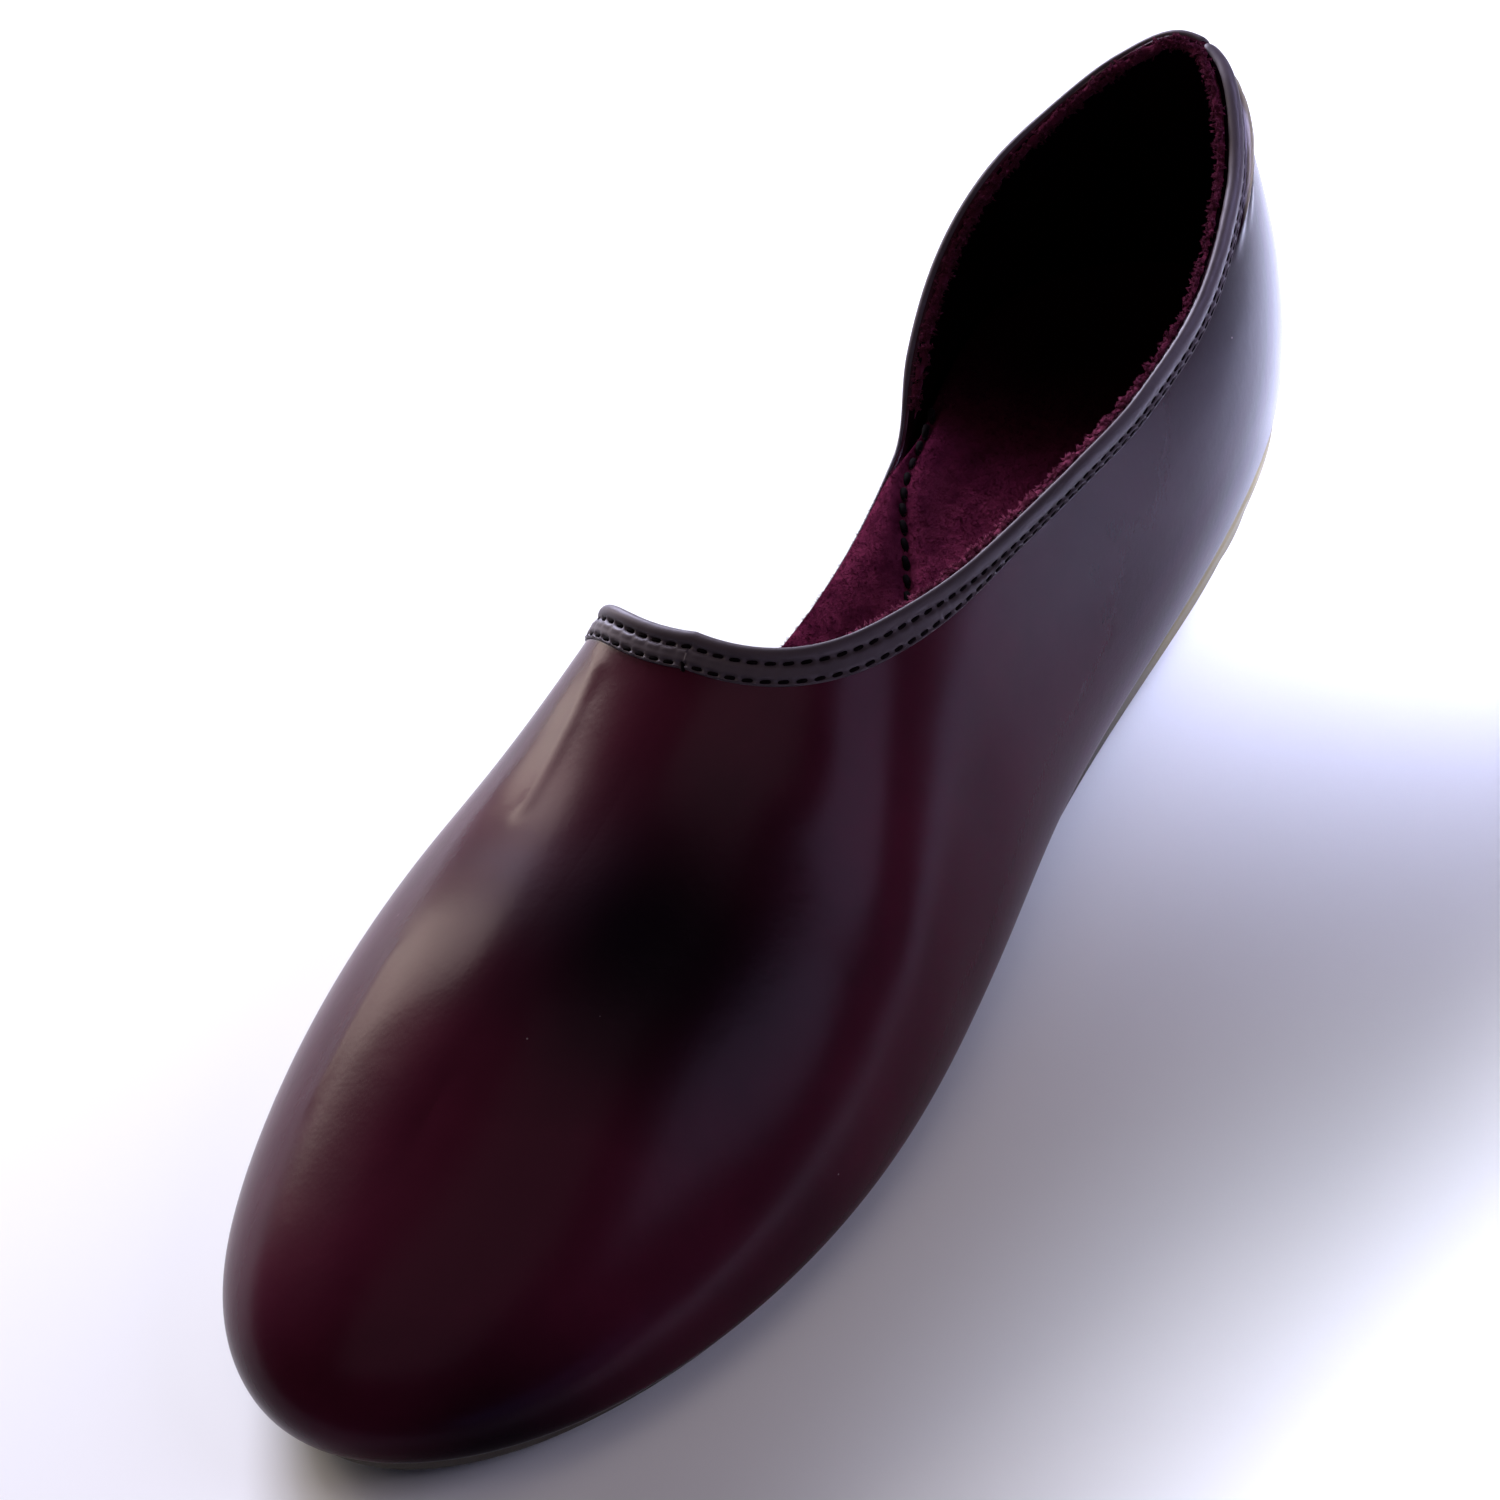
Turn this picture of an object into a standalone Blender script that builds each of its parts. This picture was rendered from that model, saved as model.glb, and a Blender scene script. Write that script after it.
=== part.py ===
"""A left flat shoe: a leather slipper, high on its outer side and open on its inner side.

The last is a short table of sections. Each side of a section is one curved wall, from
the edge of the sole up to a crown point over the foot. The upper, its binding, the
insole, the outsole and the heel are all worked out from those walls.

Lengths below are millimetres. X runs from the heel to the toe, Y to the outer side of
the foot and Z up. The finished meshes are in metres.
"""
from collections import namedtuple

import bpy
import numpy as np

MM = 0.001

# Sections of the last, from the back of the heel to the tip of the toe.
# out and inn are the outer and inner side. x and y place the edge of the sole, bulge
# and rise push the wall out and up where it starts, crown is the middle of the top,
# full is how far the top stays level, as a share of the half width, and drop lowers it.
# sole_in is how far the sole's edge lies inside the edge of the upper.
Section = namedtuple("Section", "x_out y_out x_inn y_inn bulge_out bulge_inn rise "
                                "crown_x crown_z full_out full_inn drop sole_in")
SECTIONS = {
    "heel_back": Section(0, 0, 0, 0, 7.3, 7.3, 31, 3.7, 95, 0.26, 0.26, 26, 0.8),
    "heel": Section(21, 23.5, 20, -27, 6.5, 6.9, 28.5, 22.7, 81, 0.22, 0.16, 26, 0.3),
    "waist": Section(60.5, 30.6, 61, -22.8, 7.6, 4.5, 25, 52, 74, 0.41, 0.25, 20, 0.3),
    "instep": Section(110, 34.4, 114.7, -20.6, 6.4, 5.0, 18.4, 94.3, 88.5, 0.43, 0.62, 6, 1.8),
    "ball": Section(170.3, 44.2, 168.6, -36.8, 4.6, 3.3, 21.5, 142, 57.8, 0.48, 0.63, 0, 3.4),
    "toe": Section(228.5, 31.9, 221.4, -30.7, 3.9, 2.3, 11.6, 189, 43.1, 0.55, 0.43, 0, 3.7),
    "toe_tip": Section(249.7, 0, 249.7, 0, 5, 5, 14.4, 209, 36, 0.52, 0.52, 0, 3.0),
}
ANKLE_HALF = 13.7          # half width of the crown where the foot goes in
RIDGE_STARTS = 3.4         # section number from which both walls meet in the middle
RIDGE_EASE = 0.8           # sections over which the crown's slope sets in

# Height of the sole's upper edge over the floor, along the shoe
SEAT_X = (0, 20.5, 61, 112, 169.5, 225.5, 250)
SEAT_Z = (14, 14, 11, 8, 6, 8, 11)
# Underside of the outsole: heel seat, arch, flat tread, toe spring
TREAD_X = (-6, 35, 61, 112, 150, 194, 228, 254)
TREAD_Z = (9, 9, 6.4, 2.6, 0, 0, 2.4, 5.4)

# Topline, as a height over the sole's edge, at section numbers along each side
THROAT = 3.95
TOP_OUT_AT = (0, 0.35, 1, 1.7, 2.1, 2.5, 3, 3.5)
TOP_OUT = (48.8, 48.1, 40.6, 37.1, 38.2, 41.5, 46.7, 51.5)
STRIP = 3.6                # leather left standing along the open inner side
TOP_INN_AT = (0, 0.35, 0.7, 1, 1.6, 1.9, 3.08, 3.2, 3.45, 3.7)
TOP_INN = (48.8, 44.0, 36.6, 30.8, 12.4, STRIP, STRIP, 9.5, 42, 50.6)

WALL = 1.8                 # leather of the upper, with its lining
MARGIN = 7.0               # how far the upper is lasted in under the insole
TURN_IN = 1.6              # inset where the lasted margin turns up into the wall
TURN_UP = 1.5              # height at which the wall has come out to the full width
GAP = 0.3                  # air between two pieces that touch on the real shoe

# Band along the topline: its width at section numbers, wider across the throat
BAND_AT = (0, 2.8, 3.4, THROAT)
BAND_WIDTH = (3.6, 3.6, 5.0, 5.1)
BAND_THICK = 1.0
BAND_SLIM = 0.3            # thickness that is left of it on the low inner strip, as a share
BAND_EASE = 8.0            # height over the strip at which the band has its full thickness
BAND_CLEAR = 2.2           # wall left below the band on the low inner strip

PAD_HEIGHT = 5.2           # top of the insole over the sole's edge
PAD_INSET = 3.2            # insole's edge inside the upper's edge
LIP_INSET = 0.6            # the same along the open side, where it rolls over the strip
LIP_FROM, LIP_TO = 1.8, 3.1    # section numbers between which the insole rolls over
LIP_EASE = 0.3
PAD_ROUND = 1.4
PAD_DISH = 1.0             # how much lower the insole's middle lies than its rim

SOLE_ROUND = 1.2           # rounding of the outsole's lower edge
SOLE_TAPER = 0.5           # how much narrower the tread is than the sole's top edge
HEEL_END = 2.15            # section number of the heel's straight front
HEEL_TAPER = 3.0
HEEL_WAIST = 2.0           # how much narrower the heel gets towards its front
HEEL_WAIST_FROM = 1.4
HEEL_ROUND = 0.8

COLUMNS_REAR, COLUMNS_VAMP = 32, 16
ROWS_WALL = 10
ROWS_BAND = 4
WALK_STEPS = 12            # short steps over the wall, across the band

LAST = len(SECTIONS) - 1
ROUND = 2 * LAST           # once round the shoe, in section numbers


def cubic(xs, ys, closed=False):
    """Smooth curve through points. It is natural at its ends, or closed in a loop."""
    xs, ys = np.asarray(xs, float), np.asarray(ys, float)
    step, count = np.diff(xs), len(xs)
    pitch = np.diff(ys) / step
    rows, right = np.eye(count), np.zeros(count)
    for i in range(1, count - 1):
        rows[i, i - 1:i + 2] = step[i - 1], 2 * (step[i - 1] + step[i]), step[i]
        right[i] = 6 * (pitch[i] - pitch[i - 1])
    if closed:
        rows[0, -1] = -1
        rows[-1, [0, 1, -2, -1]] = 2 * step[0], step[0], step[-1], 2 * step[-1]
        right[-1] = 6 * (pitch[0] - pitch[-1])
    bend = np.linalg.solve(rows, right)

    def at(x, slope=False):
        i = np.clip(np.searchsorted(xs, x) - 1, 0, count - 2)
        t = (x - xs[i]) / step[i]
        s = 1 - t
        if slope:
            return pitch[i] + step[i] / 6 * ((3 * t * t - 1) * bend[i + 1] - (3 * s * s - 1) * bend[i])
        bow = step[i] ** 2 / 6 * ((s ** 3 - s) * bend[i] + (t ** 3 - t) * bend[i + 1])
        return s * ys[i] + t * ys[i + 1] + bow
    return at


def steady(xs, ys):
    """Curve through points that never swings past them."""
    xs, ys = np.asarray(xs, float), np.asarray(ys, float)
    step = np.diff(xs)
    pitch = np.diff(ys) / step
    lean = np.zeros(len(xs))
    same_way = pitch[:-1] * pitch[1:] > 0
    total = np.where(same_way, pitch[:-1] + pitch[1:], 1)
    lean[1:-1] = np.where(same_way, 2 * pitch[:-1] * pitch[1:] / total, 0)
    lean[-1] = pitch[-1]

    def at(x):
        i = np.clip(np.searchsorted(xs, x) - 1, 0, len(xs) - 2)
        t = np.clip((x - xs[i]) / step[i], 0, 1)
        hold = (1 + 2 * t) * (1 - t) ** 2
        swing = t * (1 - t) ** 2 * lean[i] - t * t * (1 - t) * lean[i + 1]
        return hold * ys[i] + (1 - hold) * ys[i + 1] + step[i] * swing
    return at


def smooth(t):
    """Eases from 0 to 1."""
    t = np.clip(t, 0, 1)
    return t * t * (3 - 2 * t)


def round_the_shoe(out_name, inn_name):
    """Loop through one size of all sections, forward on the outer side, back on the inner."""
    rows = list(SECTIONS.values())
    forward = [getattr(row, out_name) for row in rows]
    back = [getattr(row, inn_name) for row in rows[-2:0:-1]]
    return cubic(range(ROUND + 1), forward + back + forward[:1], closed=True)


edge_x = round_the_shoe("x_out", "x_inn")
edge_y = round_the_shoe("y_out", "y_inn")
bulge_at = round_the_shoe("bulge_out", "bulge_inn")
full_at = round_the_shoe("full_out", "full_inn")
rise_at = round_the_shoe("rise", "rise")
drop_at = round_the_shoe("drop", "drop")
crown_x_at = round_the_shoe("crown_x", "crown_x")
sole_in_at = round_the_shoe("sole_in", "sole_in")
crown_z_over = cubic([s.crown_x for s in SECTIONS.values()], [s.crown_z for s in SECTIONS.values()])
seat_over = cubic(SEAT_X, SEAT_Z)
tread_over = steady(TREAD_X, TREAD_Z)
band_width_at = steady(BAND_AT, BAND_WIDTH)
throat_height = float(crown_z_over(crown_x_at(THROAT)) - seat_over(edge_x(THROAT)))
throat_height_inn = float(crown_z_over(crown_x_at(THROAT)) - seat_over(edge_x(ROUND - THROAT)))
top_out = steady(TOP_OUT_AT + (THROAT,), TOP_OUT + (throat_height,))
top_inn = steady(TOP_INN_AT + (THROAT,), TOP_INN + (throat_height_inn,))


def section_of(w):
    """Section number at a place w on the way round, which runs from 0 to ROUND."""
    w = np.mod(w, ROUND)
    return np.where(w <= LAST, w, ROUND - w)


def plan_out(w):
    """Direction straight out from the sole's edge, seen from above."""
    along = np.stack([edge_x(w, slope=True), edge_y(w, slope=True)], -1)
    along /= np.linalg.norm(along, axis=-1, keepdims=True)
    return np.stack([-along[..., 1], along[..., 0]], -1)


def inset_edge(w, inset, lift):
    """Points inside the upper's edge by inset, above the sole's edge by lift."""
    w = np.mod(np.asarray(w, float), ROUND)
    flat = np.stack([edge_x(w), edge_y(w)], -1) - plan_out(w) * np.reshape(inset, (-1, 1))
    return np.column_stack([flat, seat_over(flat[:, 0]) + lift])


def wall_controls(w):
    """Four control points of the wall: its foot, its swell, its shoulder and its crown."""
    w = np.mod(np.asarray(w, float), ROUND)
    q = section_of(w)
    x = edge_x(w)
    foot = np.stack([x, edge_y(w), seat_over(x)], -1)
    t = np.clip(q / RIDGE_STARTS, 0, 1)
    widest = 16 / (25 * np.sqrt(5))
    half = ANKLE_HALF * t * (1 - t * t) ** 2 / widest
    crown_x = crown_x_at(q)
    crown = np.stack([crown_x, np.where(w <= LAST, half, -half), crown_z_over(crown_x)], -1)
    across = foot[..., :2] - crown[..., :2]
    reach = np.linalg.norm(across, axis=-1)
    across /= reach[..., None]
    swell = foot.copy()
    swell[..., :2] += across * bulge_at(w)[..., None]
    swell[..., 2] += rise_at(q)
    slope = crown_z_over(crown_x, slope=True) * smooth((q - RIDGE_STARTS) / RIDGE_EASE + 1)
    level = full_at(w) * reach
    shoulder = crown.copy()
    shoulder[..., :2] += across * level[..., None]
    shoulder[..., 2] += slope * across[..., 0] * level - drop_at(q)
    return foot, swell, shoulder, crown


def wall(w, v):
    """Point on the outside of the upper, v from 0 at the sole's edge to 1 at the crown."""
    foot, swell, shoulder, crown = wall_controls(w)
    v = np.asarray(v, float)[..., None]
    u = 1 - v
    return foot * u ** 3 + 3 * swell * v * u * u + 3 * shoulder * v * v * u + crown * v ** 3


def wall_out(w, v):
    """Direction straight out from the wall."""
    dw, dv = 0.002, 0.004
    v = np.asarray(v, float)
    along = wall(w + dw, v) - wall(w - dw, v)
    up = wall(w, np.minimum(v + dv, 1)) - wall(w, np.minimum(v + dv, 1) - 2 * dv)
    # on the middle line both walls share one tangent plane, which follows the crown
    q = section_of(w)
    middle = (v > 1 - dv) & (q > RIDGE_STARTS)
    forward = np.where(np.mod(w, ROUND) <= LAST, 1.0, -1.0)
    ridge = np.stack([forward, 0 * forward, forward * crown_z_over(crown_x_at(q), slope=True)], -1)
    along = np.where(middle[..., None], ridge, along)
    out = np.cross(up, along)
    return out / np.linalg.norm(out, axis=-1, keepdims=True)


def wall_at_height(w, height):
    """v at which the wall is height over the sole's edge."""
    low, high = np.zeros(len(w)), np.ones(len(w))
    floor = wall_controls(w)[0][:, 2]
    for _ in range(30):
        middle = (low + high) / 2
        below = wall(w, middle)[:, 2] - floor < height
        low, high = np.where(below, middle, low), np.where(below, high, middle)
    return (low + high) / 2


def topline(w):
    """v of the upper's top edge. Ahead of the throat the walls close over the foot."""
    q = section_of(w)
    height = np.where(np.mod(w, ROUND) <= LAST, top_out(q), top_inn(q))
    return np.where(q >= THROAT - 1e-6, 1.0, wall_at_height(w, height))


def over_the_wall(w, v, heading, length):
    """Walks over the wall in one direction, and gives the places (w, v) on the way."""
    dw, dv = 0.002, 0.002
    places = [(w, v)]
    for _ in range(WALK_STEPS):
        level = np.minimum(v, 1 - dv)
        along = (wall(w + dw, v) - wall(w - dw, v)) / (2 * dw)
        up = (wall(w, level + dv) - wall(w, level - dv)) / (2 * dv)
        out = np.cross(up, along)
        out /= np.linalg.norm(out, axis=-1, keepdims=True)
        step = heading - out * np.sum(heading * out, axis=-1, keepdims=True)
        step *= (length / WALK_STEPS / np.linalg.norm(step, axis=-1))[:, None]
        aa, uu, au = (np.sum(m * n, axis=-1) for m, n in ((along, along), (up, up), (along, up)))
        sa, su = np.sum(step * along, axis=-1), np.sum(step * up, axis=-1)
        share = aa * uu - au * au
        w = w + (sa * uu - su * au) / share
        v = np.minimum(v + (su * aa - sa * au) / share, 1)
        places.append((w, v))
    return places


def down_from_topline(w, depth):
    """Walks from the top edge straight away from the opening, down to the band's clear height."""
    v = topline(w)
    edge = wall(w, v)
    out = wall_out(w, v)
    heading = np.cross(out, np.roll(edge, -1, axis=0) - np.roll(edge, 1, axis=0))
    heading /= np.linalg.norm(heading, axis=-1, keepdims=True)
    places = over_the_wall(w, v, heading, depth)
    heights = np.array([wall(*place)[:, 2] - wall_controls(place[0])[0][:, 2] for place in places])
    reach = np.sum(heights > BAND_CLEAR, axis=0) / len(places)
    return over_the_wall(w, v, heading, depth * reach)


def places_round():
    """Columns round the shoe: even steps along the top edge, then sections over the toes."""
    dense = THROAT * (1 - np.linspace(1, 0, 400) ** 2)
    sides = []
    for w in (dense, ROUND - dense):
        edge, foot = wall(w, topline(w)), wall_controls(w)[0]
        run = sum(np.linalg.norm(np.diff(line, axis=0), axis=1) for line in (edge, foot))
        run = np.concatenate([[0], run.cumsum()])
        sides.append(np.interp(np.linspace(0, run[-1], COLUMNS_REAR + 1), run, w))
    crowded = 1.4
    vamp = THROAT + (LAST - THROAT) * np.linspace(0, 1, COLUMNS_VAMP + 1)[1:] ** crowded
    outer, inner = np.concatenate([sides[0], vamp]), np.concatenate([sides[1], ROUND - vamp])
    return np.concatenate([outer, inner[-2:0:-1]])


def ring_faces(below, above):
    """Quads between two rings of point numbers that run the same way round."""
    following = np.roll(np.arange(len(below)), -1)
    return [(below[i], above[i], above[j], below[j]) for i, j in enumerate(following)]


def cap_faces(ring, upward):
    """Strips across a ring, from its outer side to its inner side."""
    n = len(ring)
    faces = []
    for i in range(n // 2):
        face = [ring[i], ring[i + 1], ring[(n - i - 1) % n], ring[(n - i) % n]]
        face = list(dict.fromkeys(face))
        faces.append(tuple(face[::-1] if upward else face))
    return faces


def ring_solid(rings):
    """Closed solid from rings of points, the first at the bottom and the last on top."""
    count = len(rings[0])
    number = np.arange(len(rings) * count).reshape(len(rings), count)
    faces = cap_faces(list(number[0]), upward=False) + cap_faces(list(number[-1]), upward=True)
    for below, above in zip(number[:-1], number[1:]):
        faces += ring_faces(below, above)
    return np.concatenate(rings), faces


def upper_shell():
    """Hollow leather upper with its lasted margin, open on top and underneath."""
    w = places_round()
    count = len(w)
    half = count // 2
    start = wall_at_height(w, np.full(count, TURN_UP))
    outer = [inset_edge(w, MARGIN, 0), inset_edge(w, TURN_IN, 0)]
    inner = [inset_edge(w, MARGIN, WALL), inset_edge(w, TURN_IN + WALL, WALL)]
    top = topline(w)
    for share in np.linspace(0, 1, ROWS_WALL):
        v = start + (top - start) * share
        outer.append(wall(w, v))
        inner.append(outer[-1] - WALL * wall_out(w, v))
    rows = len(outer)
    number = np.arange(rows * count).reshape(rows, count)
    # ahead of the throat both walls end in the same points on the middle line
    for i in range(COLUMNS_REAR, half):
        number[-1, (count - i) % count] = number[-1, i]
    inside = number + rows * count
    faces = []
    for below, above in zip(number[:-1], number[1:]):
        faces += ring_faces(below, above)
    for below, above in zip(inside[:-1], inside[1:]):
        faces += [face[::-1] for face in ring_faces(below, above)]
    faces += ring_faces(inside[0], number[0])
    rim = list(range(COLUMNS_REAR + 1)) + list(range(count - COLUMNS_REAR + 1, count))
    faces += ring_faces(number[-1, rim], inside[-1, rim])
    return np.concatenate(outer + inner), faces


def binding_band():
    """Leather band that follows the upper's top edge all the way round."""
    w = places_round()
    # the throat is one place on the band, although it lies on both sides of the middle
    w = w[(section_of(w) <= THROAT + 1e-6) & (np.abs(w - (ROUND - THROAT)) > 1e-6)]
    above_strip = wall(w, topline(w))[:, 2] - wall_controls(w)[0][:, 2] - STRIP
    thick = BAND_THICK * (BAND_SLIM + (1 - BAND_SLIM) * smooth(above_strip / BAND_EASE))
    near, far = [], []
    for at, v in down_from_topline(w, band_width_at(section_of(w)))[::-WALK_STEPS // (ROWS_BAND - 1)]:
        place, out = wall(at, v), wall_out(at, v)
        near.append(place + out * GAP)
        far.append(place + out * (GAP + thick)[:, None])
    rings = far + near[::-1]
    count = len(w)
    number = np.arange(len(rings) * count).reshape(len(rings), count)
    faces = []
    for below, above in zip(number, np.roll(number, -1, axis=0)):
        faces += ring_faces(below, above)
    return np.concatenate(rings), faces


def padded_insole():
    """Footbed that lies on the lasted margin and rolls over the low inner strip."""
    w = places_round()
    q = section_of(w)
    rolled = smooth((q - LIP_FROM) / LIP_EASE) * smooth((LIP_TO - q) / LIP_EASE) * (w > LAST)
    lip = PAD_INSET + (LIP_INSET - PAD_INSET) * rolled
    under = WALL + GAP
    over_strip = STRIP + 2 * GAP
    return ring_solid([
        inset_edge(w, PAD_INSET, under),
        inset_edge(w, PAD_INSET, over_strip),
        inset_edge(w, lip, over_strip + rolled * GAP),
        inset_edge(w, lip, PAD_HEIGHT + rolled * PAD_ROUND / 2),
        inset_edge(w, lip + PAD_ROUND, PAD_HEIGHT + PAD_ROUND / 2 + rolled * PAD_ROUND / 2),
        inset_edge(w, lip + 4 * PAD_ROUND, PAD_HEIGHT + PAD_ROUND / 2),
        inset_edge(w, lip + 7 * PAD_ROUND, PAD_HEIGHT + PAD_ROUND / 2 - PAD_DISH),
    ])


def tread_edge(w, inset, lift):
    """Points on the outsole's underside, inside the upper's edge by inset."""
    places = inset_edge(w, inset, 0)
    places[:, 2] = tread_over(places[:, 0]) + lift
    return places


def tan_outsole():
    """Outsole with its arch, toe spring, flat tread and rounded lower edge."""
    w = places_round()
    inset = sole_in_at(section_of(w))
    return ring_solid([
        tread_edge(w, inset + SOLE_TAPER + SOLE_ROUND, 0),
        tread_edge(w, inset + SOLE_TAPER, SOLE_ROUND),
        inset_edge(w, inset, -GAP - SOLE_ROUND / 2),
        inset_edge(w, inset + SOLE_ROUND / 2, -GAP),
    ])


def heel_block():
    """Low heel under the outsole's seat, narrower towards the floor."""
    reach = np.linspace(0, HEEL_END, 15)
    w = np.concatenate([reach, ROUND - reach[:0:-1]])
    waisted = HEEL_WAIST * smooth((section_of(w) - HEEL_WAIST_FROM) / (HEEL_END - HEEL_WAIST_FROM))
    inset = sole_in_at(section_of(w)) + SOLE_TAPER + SOLE_ROUND + waisted
    seat = tread_edge(w, inset, -GAP)
    low = tread_edge(w, inset + HEEL_TAPER - HEEL_ROUND, 0)
    low[:, 2] = HEEL_ROUND
    flat = tread_edge(w, inset + HEEL_TAPER, 0)
    flat[:, 2] = 0
    return ring_solid([flat, low, seat])


def paint(name, colour, roughness):
    """Plain surface of one colour."""
    material = bpy.data.materials.new(name)
    material.use_nodes = True
    shader = material.node_tree.nodes["Principled BSDF"]
    shader.inputs["Base Color"].default_value = (*colour, 1)
    shader.inputs["Roughness"].default_value = roughness
    shader.inputs["Metallic"].default_value = 0
    return material


PIECES = {
    "outsole": (tan_outsole, (0.30, 0.24, 0.15), 0.6),
    "heel": (heel_block, (0.27, 0.21, 0.13), 0.6),
    "upper": (upper_shell, (0.045, 0.008, 0.016), 0.35),
    "insole": (padded_insole, (0.06, 0.006, 0.022), 0.9),
    "topline_binding": (binding_band, (0.05, 0.010, 0.018), 0.38),
}


def build_shoe():
    """Makes every piece, with the origin under the middle of the shoe, on the floor."""
    for old in list(bpy.data.objects):
        bpy.data.objects.remove(old, do_unlink=True)
    solids = {name: make() for name, (make, _, _) in PIECES.items()}
    used = {name: sorted({i for face in faces for i in face}) for name, (_, faces) in solids.items()}
    every = np.concatenate([points[used[name]] for name, (points, _) in solids.items()])
    low, high = every.min(axis=0), every.max(axis=0)
    origin = np.array([(low[0] + high[0]) / 2, (low[1] + high[1]) / 2, low[2]])
    for name, (points, faces) in solids.items():
        renumber = {old: new for new, old in enumerate(used[name])}
        mesh = bpy.data.meshes.new(name)
        mesh.from_pydata(((points[used[name]] - origin) * MM).tolist(), [],
                         [[renumber[i] for i in face] for face in faces])
        mesh.shade_smooth()
        mesh.set_sharp_from_angle(angle=0.7)
        mesh.materials.append(paint(name, *PIECES[name][1:]))
        bpy.context.scene.collection.objects.link(bpy.data.objects.new(name, mesh))
    print("size in mm", np.round(high - low, 2), "origin at", np.round(origin, 2))


build_shoe()
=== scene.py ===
# %% [markdown]
# This lesson dresses a leather slipper for the left foot. Its plain solids are made already: an upper, a
# band along the top edge, an insole, an outsole and a heel. Here each one gets a finer skin of the same
# form, and then come the sewing, the fleece and the finish of each surface. The solids are loaded first,
# because every piece below is placed by them, and the size of their box is printed.

# %% Load the solids
from collections import namedtuple

import bpy
import numpy as np
from mathutils import Matrix, Quaternion, Vector


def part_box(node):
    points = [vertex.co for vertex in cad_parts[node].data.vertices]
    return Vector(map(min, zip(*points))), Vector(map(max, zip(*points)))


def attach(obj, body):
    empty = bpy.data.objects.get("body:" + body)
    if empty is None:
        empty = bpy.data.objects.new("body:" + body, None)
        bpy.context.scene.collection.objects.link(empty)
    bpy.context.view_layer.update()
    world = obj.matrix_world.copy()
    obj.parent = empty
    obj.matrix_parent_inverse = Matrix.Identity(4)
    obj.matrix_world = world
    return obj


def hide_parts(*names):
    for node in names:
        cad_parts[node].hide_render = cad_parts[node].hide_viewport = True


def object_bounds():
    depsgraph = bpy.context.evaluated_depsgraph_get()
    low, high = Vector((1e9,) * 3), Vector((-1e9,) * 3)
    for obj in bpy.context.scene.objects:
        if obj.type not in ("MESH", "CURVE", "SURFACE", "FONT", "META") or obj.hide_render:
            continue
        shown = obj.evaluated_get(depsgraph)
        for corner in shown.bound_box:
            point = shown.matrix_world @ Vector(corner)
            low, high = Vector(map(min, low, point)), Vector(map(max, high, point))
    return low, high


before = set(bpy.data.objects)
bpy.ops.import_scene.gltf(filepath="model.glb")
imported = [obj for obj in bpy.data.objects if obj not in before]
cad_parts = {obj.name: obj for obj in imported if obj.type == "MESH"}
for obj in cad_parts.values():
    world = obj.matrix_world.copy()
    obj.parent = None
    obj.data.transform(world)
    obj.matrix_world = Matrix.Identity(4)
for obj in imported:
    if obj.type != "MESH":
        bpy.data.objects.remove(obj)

solids_low, solids_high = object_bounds()
solids_size = [round(1000 * s) for s in solids_high - solids_low]
print("solids", sorted(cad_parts), "in a box of", solids_size, "mm")

# %% [markdown]
# The camera comes next, so that every later step can be looked at from the photograph's angle. A long
# lens far away keeps the shoe's proportions calm. The camera could be aimed by a tracking constraint, but
# here it is also rolled a little, so its three axes are written straight into its matrix.

# %% Camera
MM = 0.001
AIM = np.array([1.25, -3.0, 30.0])                  # the point it looks at, in millimetres
CAMERA_TURN, CAMERA_HEIGHT, CAMERA_ROLL = np.radians([39.4, 44.1, -10.46])
CAMERA_AWAY = 664.7
SENSOR, LENS = 36.0, 112.5
FRAME_SHIFT = (-0.0202, -0.0205)


def direction(turn, height):
    """Unit vector: turn goes from the toe to the outer side, height up from the floor."""
    return np.array([np.cos(height) * np.cos(turn), np.cos(height) * np.sin(turn), np.sin(height)])


def unit(vectors):
    return vectors / np.linalg.norm(vectors, axis=-1, keepdims=True)


def put_in_scene(name, data):
    made = bpy.data.objects.new(name, data)
    bpy.context.scene.collection.objects.link(made)
    return made


def place_camera():
    back = direction(CAMERA_TURN, CAMERA_HEIGHT)
    level = unit(np.cross((0, 0, 1), back))
    upright = np.cross(back, level)
    side = level * np.cos(CAMERA_ROLL) + upright * np.sin(CAMERA_ROLL)
    top = np.cross(back, side)
    data = bpy.data.cameras.new("camera")
    data.sensor_width, data.lens = SENSOR, LENS
    data.shift_x, data.shift_y = FRAME_SHIFT
    camera = put_in_scene("camera", data)
    place = (AIM + back * CAMERA_AWAY) * MM
    camera.matrix_world = Matrix(np.column_stack([side, top, back, place]).tolist() + [[0, 0, 0, 1]])
    bpy.context.scene.camera = camera
    return camera


print("camera at", [round(c, 3) for c in place_camera().location], "m")

# %% [markdown]
# A shoe is made over a last, the wooden form of a foot. The last here is a short table of sections from
# heel to toe, the same that shaped the solids. A smooth curve through each column fills in what lies
# between the rows. Curves that must not swing past their points, such as the tread, use the steady kind.

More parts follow.
